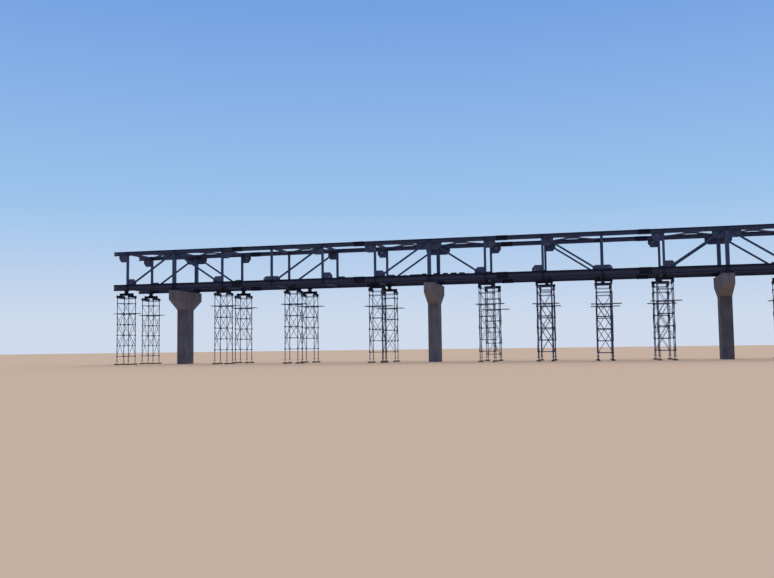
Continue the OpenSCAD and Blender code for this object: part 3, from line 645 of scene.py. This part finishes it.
lobe_turns = 2 * np.pi * (np.arange(LOBES) + 0.5) / LOBES
lobe_radius = np.where(np.arange(LOBES) % 2, LOBE_TIP, LOBE_ROOT)
rosette = slab(np.column_stack([lobe_radius * np.cos(lobe_turns),
    lobe_radius * np.sin(lobe_turns)]), -ROSETTE_HALF, ROSETTE_HALF)
head_reach = HALF_LEGS - LEG_RADIUS - HEAD_LONG / 2
tube_reach = head_reach - HEAD_LONG / 2 + 4
both_ends = [at(-head_reach, 0, 0), at(head_reach, 0, 0, 180)]
ledger_tube = straight_rod((-tube_reach, 0, 0), (tube_reach, 0, 0), LEDGER_RADIUS, 10)
ledger_heads = copies(copies(eased_block(HEAD_LONG, HEAD_WIDE, HEAD_HIGH, 5),
    [at(0, 0, -HEAD_HIGH / 2)]), both_ends)
ledger_wedges = copies(copies(eased_block(14, 5, 64, 1), [at(-4, 0, -28)]), both_ends)
brace_head = copies(eased_block(28, 17, 40, 3), [at(0, 0, -20)])


def brace(low, high, lean):
    plane = -BRACE_PLANE - (0 if lean > 0 else BRACE_STEP)
    return straight_rod((-lean * HALF_LEGS, plane, low), (lean * HALF_LEGS, plane, high),
        BRACE_RADIUS, 8)


def brace_ends(low, high, lean):
    return copies(brace_head, [at(-lean * HALF_LEGS, -BRACE_PLANE, low),
        at(lean * HALF_LEGS, -BRACE_PLANE, high)])


print("a ledger is", 2 * tube_reach, "mm of tube between its heads")

# %% Whole towers, two to a line
corner_places = [at(x * HALF_LEGS, y * HALF_LEGS, 0) for x, y in CORNERS]
face_turns = [at(0, 0, 0, 90 * turn) for turn in range(4)]


def tower_parts(line, side):
    here = spots[line, side]
    rings = ring_heights(line, side)
    rosette_levels = sorted(set(rings) | {z + LIFT / 2 for z in rings[:-2]})
    faces = [here @ turn @ at(0, -HALF_LEGS, z) for turn in face_turns for z in rings]
    corners = [here @ place for place in corner_places]
    rosettes = [corner @ at(0, 0, z) for corner in corners for z in rosette_levels]
    parts = [(copies(form, places), finish) for form, places, finish in (
        (standard, corners, tube_enamel), (sleeve_pins, corners, zinc_casting),
        (foot_plate, corners, zinc_casting), (nail_heads, corners, spindle_steel),
        (head_plate, corners, zinc_casting), (fork_flaps, corners, zinc_casting),
        (spindle, corners, spindle_steel), (wing_nut, corners, zinc_casting),
        (rosette, rosettes, zinc_casting), (ledger_tube, faces, tube_enamel),
        (ledger_heads, faces, zinc_casting), (ledger_wedges, faces, spindle_steel))]
    for turn, face in enumerate(face_turns):
        for low, high in brace_spans(rings, (BRACE_FEET[side][line - 1] + turn) % 2):
            parts += [(copies(form(low, high, lean), [here @ face]), finish)
                for lean in (-1, 1)
                for form, finish in ((brace, tube_enamel), (brace_ends, zinc_casting))]
    return parts


for line in tower_x:
    make_piece(f"shoring_tower_frames_{line}",
        [part for side in SIDES for part in tower_parts(line, side)],
        replaces=[f"shoring_towers_{line}"])

# %% [markdown]
# ## Timber
# The working planks and the sills are sawn softwood that has stood in the weather. Such wood
# turns from tan to silver grey, and darker along the grain where the soft rings wear down. A
# wave texture could draw the rings, but from this far a grain is a noise stretched along the
# board, here sixteen times. Each board keeps its own tone, a random number on its faces that
# the finish reads.

# %% Weathered softwood
GRAIN_WIDE, GRAIN_LONG = 14, 220


def softwood(name, fresh, grey, grain_axis):
    finish, tree, where = placed_finish(name)
    tone = add(tree, "Attribute", {}, attribute_name="tone").outputs["Fac"]
    offset = add(tree, "CombineXYZ", {0: tone, 1: tone, 2: tone})
    apart = add(tree, "VectorMath", {0: where, 1: offset}, operation="ADD")
    stretch = [waves(GRAIN_LONG if axis == grain_axis else GRAIN_WIDE) for axis in range(3)]
    along = add(tree, "Mapping", {"Vector": apart, "Scale": stretch})
    grain = add(tree, "TexNoise", {"Vector": along, "Scale": 1, "Detail": 6, "Roughness": 0.6,
        "Distortion": 0.4})
    bands = add(tree, "MapRange", {0: grain, 1: 0.36, 2: 0.66})
    # Cement and mud lie in patches about 150 mm across
    dirt = blotches(tree, where, 150, 0.52, 0.68, 0.7, detail=7)
    colour = layered(tree, fresh, (tone, grey), (bands, "#48434a"), (dirt, "#6b6359"))
    return surfaced(finish, tree, colour, 0.88, grain, 1, 0.6, {"Specular IOR Level": 0.3})


board_wood = softwood("weathered_scaffold_board", "#6b6a6c", "#596070", 0)
sill_wood = softwood("sawn_timber_sill", "#7d6850", "#6c6156", 1)
hoop_steel = scaffold_finish("galvanised_board_hoop", "#5a5f68", "#474b52", 0.08, 0.8, 0.5)
print(board_wood.name, sill_wood.name, hoop_steel.name)

# %% Working planks
PLANK_RING, PLANKS_PER_TOWER = 4, 3
PLANK_WIDE, PLANK_THICK, PLANK_GAP = 150, 22, 14
PLANK_LONG, PLANK_SHIFT = 1220, 55
HOOP_PROUD, HOOP_WIDE, HOOP_INSET = 1.2, 22, 34
# Length and shift of a line's planks, as shares of the usual ones
PLANK_FITS = {5: (1, 2.2), 6: (0.91, 0.8), 7: (1.03, 1.4), 8: (1, 0.7)}
chance = np.random.default_rng(7)


def plank(length):
    cup, bow, twist = chance.uniform(-1.2, 1.2), chance.uniform(0, 2), chance.uniform(-1, 1)
    across, up = cut_rectangle(PLANK_WIDE, PLANK_THICK, 2.5).T
    half = PLANK_WIDE / 2
    return lofted([np.column_stack([np.full(8, share * length), across, PLANK_THICK / 2 + up
        + cup * (across / half) ** 2 + (bow * (1 - 4 * share * share)
        + twist * share * across / half)]) for share in np.linspace(-0.5, 0.5, 7)])


def hoops(length):
    hoop = eased_block(HOOP_WIDE, PLANK_WIDE + 2 * HOOP_PROUD, PLANK_THICK + 2 * HOOP_PROUD,
        1.1)
    return copies(hoop, [at(side * (0.5 * length - HOOP_INSET), 0, -HOOP_PROUD)
        for side in (-1, 1)])


plank_parts = []
for line, side in towers:
    length_share, shift_share = PLANK_FITS.get(line, (1, 1))
    seat = ring_heights(line, side)[PLANK_RING] + LEDGER_RADIUS + HOOP_PROUD + 0.1
    for i in range(PLANKS_PER_TOWER):
        length = length_share * PLANK_LONG - chance.uniform(0, 30)
        here = at(tower_x[line] + shift_share * PLANK_SHIFT + chance.uniform(-10, 10),
            truss_y[side] + (i - 1) * (PLANK_WIDE + PLANK_GAP), seat,
            chance.uniform(-0.4, 0.4))
        plank_parts += [(copies(plank(length), [here]), board_wood),
            (copies(hoops(length), [here]), hoop_steel)]
make_piece("scaffold_boards", plank_parts, replaces=["work_planks"])

# %% Sills
SILL_WIDE, SILL_OVERHANG = 140, 140
sill_long = 2 * (HALF_LEGS + SILL_OVERHANG)


def sill():
    across, up = cut_rectangle(SILL_WIDE, sill_top, 4).T
    stations = zip(np.linspace(-0.5, 0.5, 5), chance.uniform(-0.008, 0, 5))
    return lofted([np.column_stack([across * (1 + swell), np.full(8, share * sill_long),
        sill_top / 2 + up])[::-1] for share, swell in stations])


sill_parts = [(copies(sill(), [at(tower_x[line] + x * HALF_LEGS, truss_y[side], 0)]), sill_wood)
    for line, side in towers for x in (-1, 1)]
make_piece("sawn_sills", sill_parts, replaces=["timber_sills"])

# %% [markdown]
# ## Beams, packs and bearings
# Each tower carries two cross beams, a header beam and a pack of steel under the chord. The
# packs are offcuts of heavy section between plates, left bare, so they rust to a dark maroon.
# The bearings are rubber pads with steel sheets moulded inside: the rubber bulges between the
# sheets under the load. A bump would not change a pad's outline, so the bulges are rings of a
# loft.

# %% Rusted steel, moulded rubber and bearing plates
def rusted_steel():
    finish, tree, where = placed_finish("bare_rusted_packing_steel")
    # Rust scales are 10 to 40 mm across
    scales = add(tree, "TexNoise", {"Vector": where, "Scale": waves(45), "Detail": 9,
        "Roughness": 0.68})
    bands = add(tree, "MapRange", {0: scales, 1: 0.35, 2: 0.65})
    colour = layered(tree, "#28171e", (bands, "#3b2326"))
    return surfaced(finish, tree, colour, 0.9, scales, 1.5, 0.7, {"Metallic": 0.2})


def moulded_rubber():
    finish, tree, where = placed_finish("moulded_bearing_rubber")
    dust = blotches(tree, where, 70, 0.4, 0.7, 0.5, detail=6)
    colour = layered(tree, "#17181b", (dust, "#474341"))
    rubber = add(tree, "BsdfPrincipled", {"Base Color": colour, "Roughness": 0.8,
        "IOR": 1.52, "Specular IOR Level": 0.3})
    add(tree, "OutputMaterial", {"Surface": rubber})
    return finish


rust = rusted_steel()
pad_rubber = moulded_rubber()
beam_paint = shop_coat("near_black_paint_on_shoring_beams", "#06102b", "#0e1837", "#282e45",
    0.4, 0.06)
bearing_paint = shop_coat("chlorinated_rubber_paint_on_bearings", "#2b2d34", "#34343a",
    "#4c463f", 0.5, 0.1)
dress(beam_paint, "tower_cross_beams", "tower_header_beams")
dress(bearing_paint, "bearing_plates")

# %% Steel packs
PACK_WIDE, PACK_PLATE, STUB_WIDE = 200, 12, 130
SHIM_WIDE, SHIM_THICK, SHIMS = 184, 5, 3
header_low, header_top = (corner.z for corner in corners_of("tower_header_beams"))


def i_outline(depth, wide, flange, web):
    x, y = depth / 2, wide / 2
    return [(-x, -y), (flange - x, -y), (flange - x, -web / 2), (x - flange, -web / 2),
        (x - flange, -y), (x, -y), (x, y), (x - flange, y), (x - flange, web / 2),
        (flange - x, web / 2), (flange - x, y), (-x, y)]


pack_plate = eased_block(PACK_WIDE, PACK_WIDE, PACK_PLATE, 1.5)
shim = eased_block(SHIM_WIDE, SHIM_WIDE, SHIM_THICK, 1)
stub_high = bottom_low - PACK_PLATE - SHIMS * SHIM_THICK
stub = slab(i_outline(STUB_WIDE, STUB_WIDE, flange=11, web=8), header_top + PACK_PLATE,
    stub_high)
pack_parts = []
for here in spots.values():
    pack_parts += [(copies(form, [here @ at(0, 0, z)]), rust) for form, z in
        ((pack_plate, header_top), (stub, 0), (pack_plate, stub_high))]
    pack_parts += [(copies(shim, [here @ at(chance.uniform(-6, 6), chance.uniform(-6, 6),
        stub_high + PACK_PLATE + i * SHIM_THICK, chance.uniform(-3, 3))]), rust)
        for i in range(SHIMS)]
make_piece("steel_packs_with_shims", pack_parts, replaces=["steel_packs"])

# %% Rubber pads
# The box of the pads reaches over two spans, and what it is longer than them is one pad
PAD_ACROSS, PAD_LAYERS, BULGE = 118, 4, 2
pad_low, pad_high = corners_of("bearing_pads")
pad_along = (pad_high.x - pad_low.x) % (PANELS_PER_SPAN * panel)


def laminated_pad(along, across, high):
    insets = [BULGE] + [0.6, 0, 0.6, BULGE] * PAD_LAYERS
    return lofted([np.column_stack([cut_rectangle(along - 2 * inset, across - 2 * inset, 4),
        np.full(8, i * high / (len(insets) - 1))]) for i, inset in enumerate(insets)])


pads = copies(laminated_pad(pad_along, PAD_ACROSS, pad_high.z - pad_low.z),
    [at(x, y, pad_low.z) for x in pier_x.values() for y in truss_y.values()])
make_piece("laminated_pads", [(pads, pad_rubber)], replaces=["bearing_pads"])

# %% Stiffeners of the tower beams
HEADER_WEB_CLEAR, HEADER_WING, CROSS_WEB_CLEAR, CROSS_WING = 94, 50, 82, 30
BEAM_WEB_HALF, BEAM_FLANGE = 3, 9
cross_low = corners_of("tower_cross_beams")[0].z
header_fin = eased_block(8, HEADER_WING, HEADER_WEB_CLEAR, 1)
cross_fin = eased_block(CROSS_WING, 7, CROSS_WEB_CLEAR, 1)
header_fins = [at(x, wing * (HEADER_WING / 2 + BEAM_WEB_HALF), header_low + BEAM_FLANGE)
    for x in (-HALF_LEGS, 0, HALF_LEGS) for wing in (-1, 1)]
cross_fins = [at(x * HALF_LEGS + wing * (CROSS_WING / 2 + BEAM_WEB_HALF), y,
    cross_low + BEAM_FLANGE) for x in (-1, 1) for wing in (-1, 1)
    for y in (-HALF_LEGS, 0, HALF_LEGS)]
fin_parts = [(copies(fin, [here @ place for place in places]), beam_paint)
    for here in spots.values() for fin, places in ((header_fin, header_fins),
    (cross_fin, cross_fins))]
make_piece("tower_beam_stiffeners", fin_parts)

# %% Offcuts on the near chord
# Five heaps lie beside the middle pier: a plate with a short end of a small beam on it, and a
# flat bar to its right. A long bar of leftover packing and a short one lie left of them
HEAP_PLACES = (-0.1, 0.128, 0.285, 0.44, 0.59)
LONE_BARS = ((-0.255, 500, 34), (-0.45, 150, 20))
BLOCK_LONG, BLOCK_PLATE = 290, 14
FLAT_LONG, FLAT_THICK, FLAT_OUT = 210, 9, 207
block_low, block_high = corners_of("chord_blocks")
block_wide, block_tall = block_high.y - block_low.y, block_high.z - block_low.z
offcut_outline = [(b, a) for a, b in reversed(i_outline(block_tall - BLOCK_PLATE,
    block_wide - 16, flange=6, web=5))]


def on_chord(place):
    return at(place * panel, truss_y["near"], block_low.z)


block_parts = []
for place in HEAP_PLACES:
    length = BLOCK_LONG - chance.uniform(20, 90)
    block_parts += [(copies(form, [on_chord(place) @ shift]), finish)
        for form, shift, finish in (
        (eased_block(BLOCK_LONG, block_wide, BLOCK_PLATE, 2), at(0, 0, 0), rust),
        (bar(offcut_outline, length), at(chance.uniform(-15, 15) - length / 2, 0,
            (block_tall + BLOCK_PLATE) / 2, chance.uniform(-1.2, 1.2)), beam_paint),
        (eased_block(FLAT_LONG, block_wide - 20, FLAT_THICK, 2),
            at(FLAT_OUT + chance.uniform(-8, 8), chance.uniform(-4, 4), 0,
            chance.uniform(-3, 3)), beam_paint))]
for place, length, tall in LONE_BARS:
    shift = at(0, chance.uniform(-6, 6), 0, chance.uniform(-1.5, 1.5))
    block_parts.append((copies(eased_block(length, block_wide - 26, tall, 3),
        [on_chord(place) @ shift]), beam_paint))
make_piece("worn_chord_blocks", block_parts, replaces=["chord_blocks"])

# %% [markdown]
# ## Bolts
# Every connection on the site is bolted. A bolt is a hexagon head with a washer on one side
# of the plates and a washer, a nut and a stub of thread on the other, so it is drawn as five
# turned pieces. A head alone would do for the front view, but the nuts show from the back.
# Its length follows the grip, which is the thickness of all the plates that it clamps.

# %% Bolt finish and one bolt
# From a hexagon's middle to its corners, as a share of the bolt's size
HEX_CORNER = 0.914
ALONG_Y, DOWN = (Matrix.Rotation(math.radians(turn), 4, "X") for turn in (-90, 180))
bolt_zinc = scaffold_finish("dull_zinc_on_bolts", "#1c1f29", "#2a2c35", 0.12, 0.6, 0.5)


# The heights are those of a 12 mm bolt and grow with the size k
def bolt(size, grip, flush=False):
    corner, k = HEX_CORNER * size, size / 12
    pieces = [turned([(0.85 * corner, -10 * k), (corner, -8.6 * k), (corner, -2.5 * k)], 6),
        turned([(size, -2.5 * k), (size, 0)], 10)]
    if flush:
        # A countersunk head lies level with the plate
        pieces += [turned([(size, grip - 1), (0.95 * size, grip + 0.3)], 10)]
    else:
        pieces += [turned([(size, grip), (size, grip + 2.5 * k)], 10),
            turned([(corner, grip + 2.5 * k), (corner, grip + 10.5 * k),
                (0.85 * corner, grip + 12 * k)], 6),
            turned([(size / 2, grip + 12 * k), (0.4 * size, grip + 16 * k)], 6)]
    return joined(pieces)


print("one bolt has", np.sum(bolt(12, 26).sizes - 2), "triangles")

# %% Field splices
SPLICE_REACH, SPLICE_PLATE = 732, 9
BOLT_COLUMNS = [side * (36 + 48 * i) for i in range(5) for side in (-1, 1)]
FLANGE_ROWS, BOTTOM_ROWS, TOP_ROWS = (-57, 57), (-78, -26, 26, 78), (-33, 33)
BOTTOM_FLANGE, BOTTOM_WEB, TOP_FLANGE, TOP_WEB = 12, 8, 10, 6
splice_x = [end * panel + side * SPLICE_REACH for end, side in
    ((-4, 1), (-1, -1), (1, 1), (4, -1))]


def chord_splice_bolts(x, y, low, high, flange, web, web_rows):
    grip, flange_grip = web + 2 * SPLICE_PLATE, flange + 2 * SPLICE_PLATE
    is_top = high > bottom_high
    above = (at(0, 0, high + SPLICE_PLATE - flange_grip) if is_top
        else at(0, 0, high + SPLICE_PLATE) @ DOWN)
    web_places = [at(x + column, y - grip / 2, (low + high) / 2 + row) @ ALONG_Y
        for column in BOLT_COLUMNS for row in web_rows]
    flange_spots = [(x + column, y + row) for column in BOLT_COLUMNS for row in FLANGE_ROWS]
    return [copies(bolt(12, grip), web_places),
        copies(bolt(12, flange_grip), [at(*spot, low - SPLICE_PLATE) for spot in flange_spots]),
        copies(bolt(12, flange_grip, is_top), [at(*spot, 0) @ above for spot in flange_spots])]


for side, y in truss_y.items():
    forms = [form for x in splice_x for chord in (
        (bottom_low, bottom_high, BOTTOM_FLANGE, BOTTOM_WEB, BOTTOM_ROWS),
        (top_low, top_high, TOP_FLANGE, TOP_WEB, TOP_ROWS))
        for form in chord_splice_bolts(x, y, *chord)]
    make_piece(side + "_splice_bolts", [(joined(forms), bolt_zinc)])

# %% Ends of the diagonals
# Panel points at the top and the bottom end of each diagonal, in the half right of the middle
FITTED = ((0, 1), (2, 3), (5, 4), (5, 6))
slope = math.atan2(top_axis - bottom_axis, panel)
level_share, steep_share = math.cos(slope), math.sin(slope)
DIAGONAL_WIDE, DIAGONAL_GAP, GUSSET, ANGLE = 76, 14, 10, 7
END_BOLTS, BOLT_ROW = (22, 66), 17.6


def diagonal_start(depth):
    return (depth / 2 + DIAGONAL_GAP + DIAGONAL_WIDE / 2 * level_share) / steep_share


top_start = diagonal_start(top_high - top_low)
bottom_start = diagonal_start(bottom_high - bottom_low)
axis_length = math.hypot(panel, top_axis - bottom_axis)
diagonal_length = axis_length - top_start - bottom_start
# Pairs of bolts at both ends, and one at each pack between the two angles
stations = [(top_start + b, row * BOLT_ROW) for b in END_BOLTS for row in (-1, 1)]
stations += [(axis_length - bottom_start - b, row * BOLT_ROW) for b in END_BOLTS
    for row in (-1, 1)]
stations += [(top_start + share * diagonal_length, 0) for share in (1 / 3, 2 / 3)]
grip = GUSSET + 2 * ANGLE
places = []
for half in (-1, 1):
    for top, bottom in FITTED:
        run = math.copysign(1, bottom - top) * half
        places += [at(half * top * panel + run * (reach * level_share + aside * steep_share),
            y - grip / 2, top_axis - reach * steep_share + aside * level_share) @ ALONG_Y
            for y in truss_y.values() for reach, aside in stations]
diagonal_bolts = copies(bolt(12, grip), places)
print(len(places), "bolts in the diagonals")

# %% Ends of floor beams and struts
END_PLATE = 10
BEAM_COLUMNS, BEAM_ROWS, STRUT_ROWS = (-38, 38), (-70, -24, 24, 70), (-58.5, 58.5)


def end_bolts(size, web, level, columns, rows):
    inner = abs(truss_y["far"]) - web / 2 - END_PLATE
    return copies(bolt(size, END_PLATE + web), [at(0, 0, 0, turn)
        @ at(k * panel + x, inner, level + z) @ ALONG_Y for turn in (0, 180)
        for k in panel_points for x in columns for z in rows])


beam_bolts = end_bolts(12, BOTTOM_WEB, bottom_axis, BEAM_COLUMNS, BEAM_ROWS)
strut_bolts = end_bolts(10, TOP_WEB, top_axis, STRUT_ROWS, STRUT_ROWS)
make_piece("frame_bolts", [(joined([diagonal_bolts, beam_bolts, strut_bolts]), bolt_zinc)])

# %% Ends and middles of the lateral bracing
BRACED_PANELS = (0, 2, 4, 5)
PLATE_UNDER, ANGLE_SEAT = 8, 0.3
FROM_END, FROM_MIDDLE = (158, 203, 248), (78, 122)
width = truss_y["far"] - truss_y["near"]
lateral_turn = math.degrees(math.atan2(width, panel))
lateral_length = math.hypot(panel, width)
stations = (list(FROM_END) + [lateral_length / 2 + way * r for way in (-1, 1)
    for r in FROM_MIDDLE] + [lateral_length - r for r in FROM_END])
bracing_bolts = copies(bolt(10, PLATE_UNDER + ANGLE + ANGLE_SEAT), [at(0, 0, 0, half_turn)
    @ at(start * panel, side * truss_y["near"], level - PLATE_UNDER, side * lateral_turn)
    @ at(r, 0, 0) for half_turn in (0, 180) for level in (bottom_axis, top_axis)
    for start in BRACED_PANELS for side in (-1, 1) for r in stations])
make_piece("bracing_bolts", [(bracing_bolts, bolt_zinc)])

# %% Tower heads
CROSS_GAUGE, HEADER_GAUGE, PACK_GAUGE = 22, 38, 80
crossing_bolts = [here @ at(x * HALF_LEGS + CROSS_GAUGE * dx, HEADER_GAUGE * dy,
    header_low - BEAM_FLANGE) for here in spots.values() for x in (-1, 1)
    for dx, dy in CORNERS]
pack_bolts = [at(tower_x[line] + PACK_GAUGE * dx, truss_y[side] + HEADER_GAUGE * dy,
    header_top - BEAM_FLANGE) for line, side in towers for dx, dy in CORNERS]
make_piece("tower_head_bolts", [(copies(bolt(12, 2 * BEAM_FLANGE), crossing_bolts), bolt_zinc),
    (copies(bolt(12, BEAM_FLANGE + PACK_PLATE), pack_bolts), bolt_zinc)])

# %% [markdown]
# ## Welds
# Posts, gussets and stiffeners are welded in the yard with fillet welds. A fillet is a
# three-sided bead in the corner of two plates, with a ripple at every 8 to 15 mm where the
# molten pool froze. A bump along the corner would vanish in side light, so it is drawn as a
# loft whose two legs grow and shrink from ring to ring.

# %% One weld bead
BEAD_LEG, RIPPLE = 5, 14


def bead(start, end, leg_a, leg_b):
    start, end, leg_a, leg_b = (np.array(v, dtype=float) for v in (start, end, leg_a, leg_b))
    if np.dot(np.cross(leg_a, leg_b), end - start) < 0:
        leg_a, leg_b = leg_b, leg_a
    count = max(2, int(np.linalg.norm(end - start) / RIPPLE))
    rings = []
    for share in np.linspace(0, 1, count + 1):
        here = start + share * (end - start)
        size = BEAD_LEG * chance.uniform(0.8, 1.15)
        rings.append([here, here + size * leg_a, here + size * leg_b])
    return lofted(rings)


bead_coat = shop_coat("alkyd_over_weld_beads", "#262d44", "#32384d", "#4a484e", 0.4, 0.2)
print("a bead of 300 mm has", len(bead((0, 0, 0), (300, 0, 0), (0, 1, 0), (0, 0, 1)).sizes),
    "faces")

# %% Welds round the posts
POST_WIDE, PIER_POST_WIDE = 96, 148


def is_pier(k):
    return k % PANELS_PER_SPAN == 0


def post_half(k):
    return (PIER_POST_WIDE if is_pier(k) else POST_WIDE) / 2


def ring_of_beads(x, y, z, half, up):
    corners = [(-1, -1), (1, -1), (1, 1), (-1, 1), (-1, -1)]
    return [bead((x + half * x_0, y + half * y_0, z), (x + half * x_1, y + half * y_1, z),
        ((x_0 + x_1) / 2, (y_0 + y_1) / 2, 0), (0, 0, up))
        for (x_0, y_0), (x_1, y_1) in zip(corners, corners[1:])]


post_beads = [form for y in truss_y.values() for k in panel_points
    for z, up in ((bottom_high, 1), (top_low, -1))
    for form in ring_of_beads(k * panel, y, z, post_half(k), up)]
print(len(post_beads), "beads round the posts")

# %% Welds along gussets and stiffeners
# Each gusset as its panel point, the point its diagonal leads to, its reach and its height
TOP_GUSSETS = [(0, 1, 560, 290), (2, 3, 460, 318), (5, 4, 560, 290), (5, 6, 560, 290),
    (1, 2, 460, 318), (4, 3, 460, 318), (6, 7, 460, 318)]
BOTTOM_GUSSETS = [(1, 0, 460, 262), (3, 2, 405, 178), (4, 5, 460, 262), (6, 5, 460, 262),
    (2, 1, 460, 262), (3, 4, 405, 178)]
BEARING_STIFFENERS = (-55, 55)
STIFFENER = 7


def gusset_beads(k, toward, reach, high, y, z, up, half):
    run = math.copysign(1, toward - k) * half
    x = half * k * panel
    inner, outer = x + run * post_half(k), x + run * reach
    forms = []
    for side in (-1, 1):
        face = y + side * GUSSET / 2
        forms += [bead((inner, face, z), (outer, face, z), (0, side, 0), (0, 0, up)),
            bead((inner, face, z), (inner, face, z + up * high), (0, side, 0), (run, 0, 0))]
    return forms


def stiffener_beads(x, y, out, web, low, high):
    face = y + out * web / 2
    return [bead((x + side * STIFFENER / 2, face, low), (x + side * STIFFENER / 2, face, high),
        (side, 0, 0), (0, out, 0)) for side in (-1, 1)]


plate_beads = []
for side, y in truss_y.items():
    for half in (-1, 1):
        for gussets, z, up in ((TOP_GUSSETS, top_low, -1), (BOTTOM_GUSSETS, bottom_high, 1)):
            for gusset in gussets:
                plate_beads += gusset_beads(*gusset, y, z, up, half)
    for k in panel_points:
        plate_beads += stiffener_beads(k * panel, y, SIDES[side], TOP_WEB,
            top_low + TOP_FLANGE, top_high - TOP_FLANGE)
        for offset in BEARING_STIFFENERS if is_pier(k) else (0,):
            plate_beads += stiffener_beads(k * panel + offset, y, SIDES[side], BOTTOM_WEB,
                bottom_low + BOTTOM_FLANGE, bottom_high - BOTTOM_FLANGE)
make_piece("yard_welds", [(joined(post_beads + plate_beads), bead_coat)],
    smooth_angle=60)

# %% [markdown]
# ## Marks of the formwork
# A pier is cast against panels that are bolted together. Grout creeps into each joint and
# leaves a thin fin, and the bars that tied the panels leave round holes, later plugged with
# mortar. Both could be drawn in the finish, but they stand a millimetre or two proud and
# catch light, so they are shapes, and they give a bare pier its scale.

# %% Fins and plugs on the shafts
FORM_HIGH, FIN_HIGH, FIN_PROUD = 610, 3, 1.5
SHAFT_CHAMFER, PLUG_RADIUS = 18, 12
PLUGS_ALONG, PLUGS_ACROSS = (-130, 130), (-230, 230)
shaft_low, shaft_high = corners_of("pier_shaft_middle")
shaft_along, shaft_across = shaft_high.x - shaft_low.x, shaft_high.y - shaft_low.y
levels = np.arange(FORM_HIGH, shaft_high.z - 100, FORM_HIGH)
fin = slab(cut_rectangle(shaft_along + 2 * FIN_PROUD, shaft_across + 2 * FIN_PROUD,
    SHAFT_CHAMFER), 0, FIN_HIGH)
upright_fin = slab(cut_rectangle(shaft_along + 2 * FIN_PROUD, FIN_HIGH, 0.5), 2,
    shaft_high.z - 2)
plug = turned([(PLUG_RADIUS, -2), (PLUG_RADIUS, 0.8), (PLUG_RADIUS - 2, 1.6)], 12)
plug_places = []
for x in pier_x.values():
    for z in [low + FORM_HIGH / 2 for low in [0] + list(levels)]:
        plug_places += [at(x + side * shaft_along / 2, y, z, 90 * side, "Y")
            for side in (-1, 1) for y in PLUGS_ACROSS]
        plug_places += [at(x + dx, side * shaft_across / 2, z, -90 * side, "X")
            for side in (-1, 1) for dx in PLUGS_ALONG]
fins = copies(fin, [at(x, 0, z) for x in pier_x.values() for z in levels])
upright_fins = copies(upright_fin, [at(x, 0, 0) for x in pier_x.values()])
grout = shaft_concrete["middle"]
plug_mortar = cast_concrete("tie_hole_mortar", "#5f5b60", "#47454d")
make_piece("formwork_marks", [(fins, grout), (upright_fins, grout),
    (copies(plug, plug_places), plug_mortar)])

# %% [markdown]
# ## Edges
# No real edge is perfectly sharp. Rolled steel has rounded corners, cut plate a small burr
# that was ground off, and cast concrete a crumbled arris. Cutting the edges by hand would
# change the model's meshes, and modifiers leave them as they are: one welds the mesh's split
# corners, and one adds a narrow bevel, which catches light.

# %% Narrow bevels on the model's own meshes
SPLIT_GAP, SHARP_TURN = 0.05, 40


def ease_edges(width, *names):
    for name in names:
        weld = nodes[name].modifiers.new("close_split_corners", "WELD")
        weld.merge_threshold = SPLIT_GAP * MM
        bevel = nodes[name].modifiers.new("eased_edges", "BEVEL")
        bevel.width = width * MM
        bevel.segments = 1
        bevel.limit_method = "ANGLE"
        bevel.angle_limit = math.radians(SHARP_TURN)
        bevel.use_clamp_overlap = True
    print(f"{width} mm on", len(names), "nodes")


ease_edges(1.5, *on_both_sides("bottom_chord", "top_chord", "posts", "pier_posts",
    "top_gussets", "bottom_gussets", "splice_plates", "diagonals"))
ease_edges(1, "floor_beams", "top_struts", "top_laterals", "bottom_laterals",
    "tower_cross_beams", "tower_header_beams", "bearing_plates")
ease_edges(4, *["pier_" + part + "_" + side for part in ("cap", "shaft") for side in pier_x])
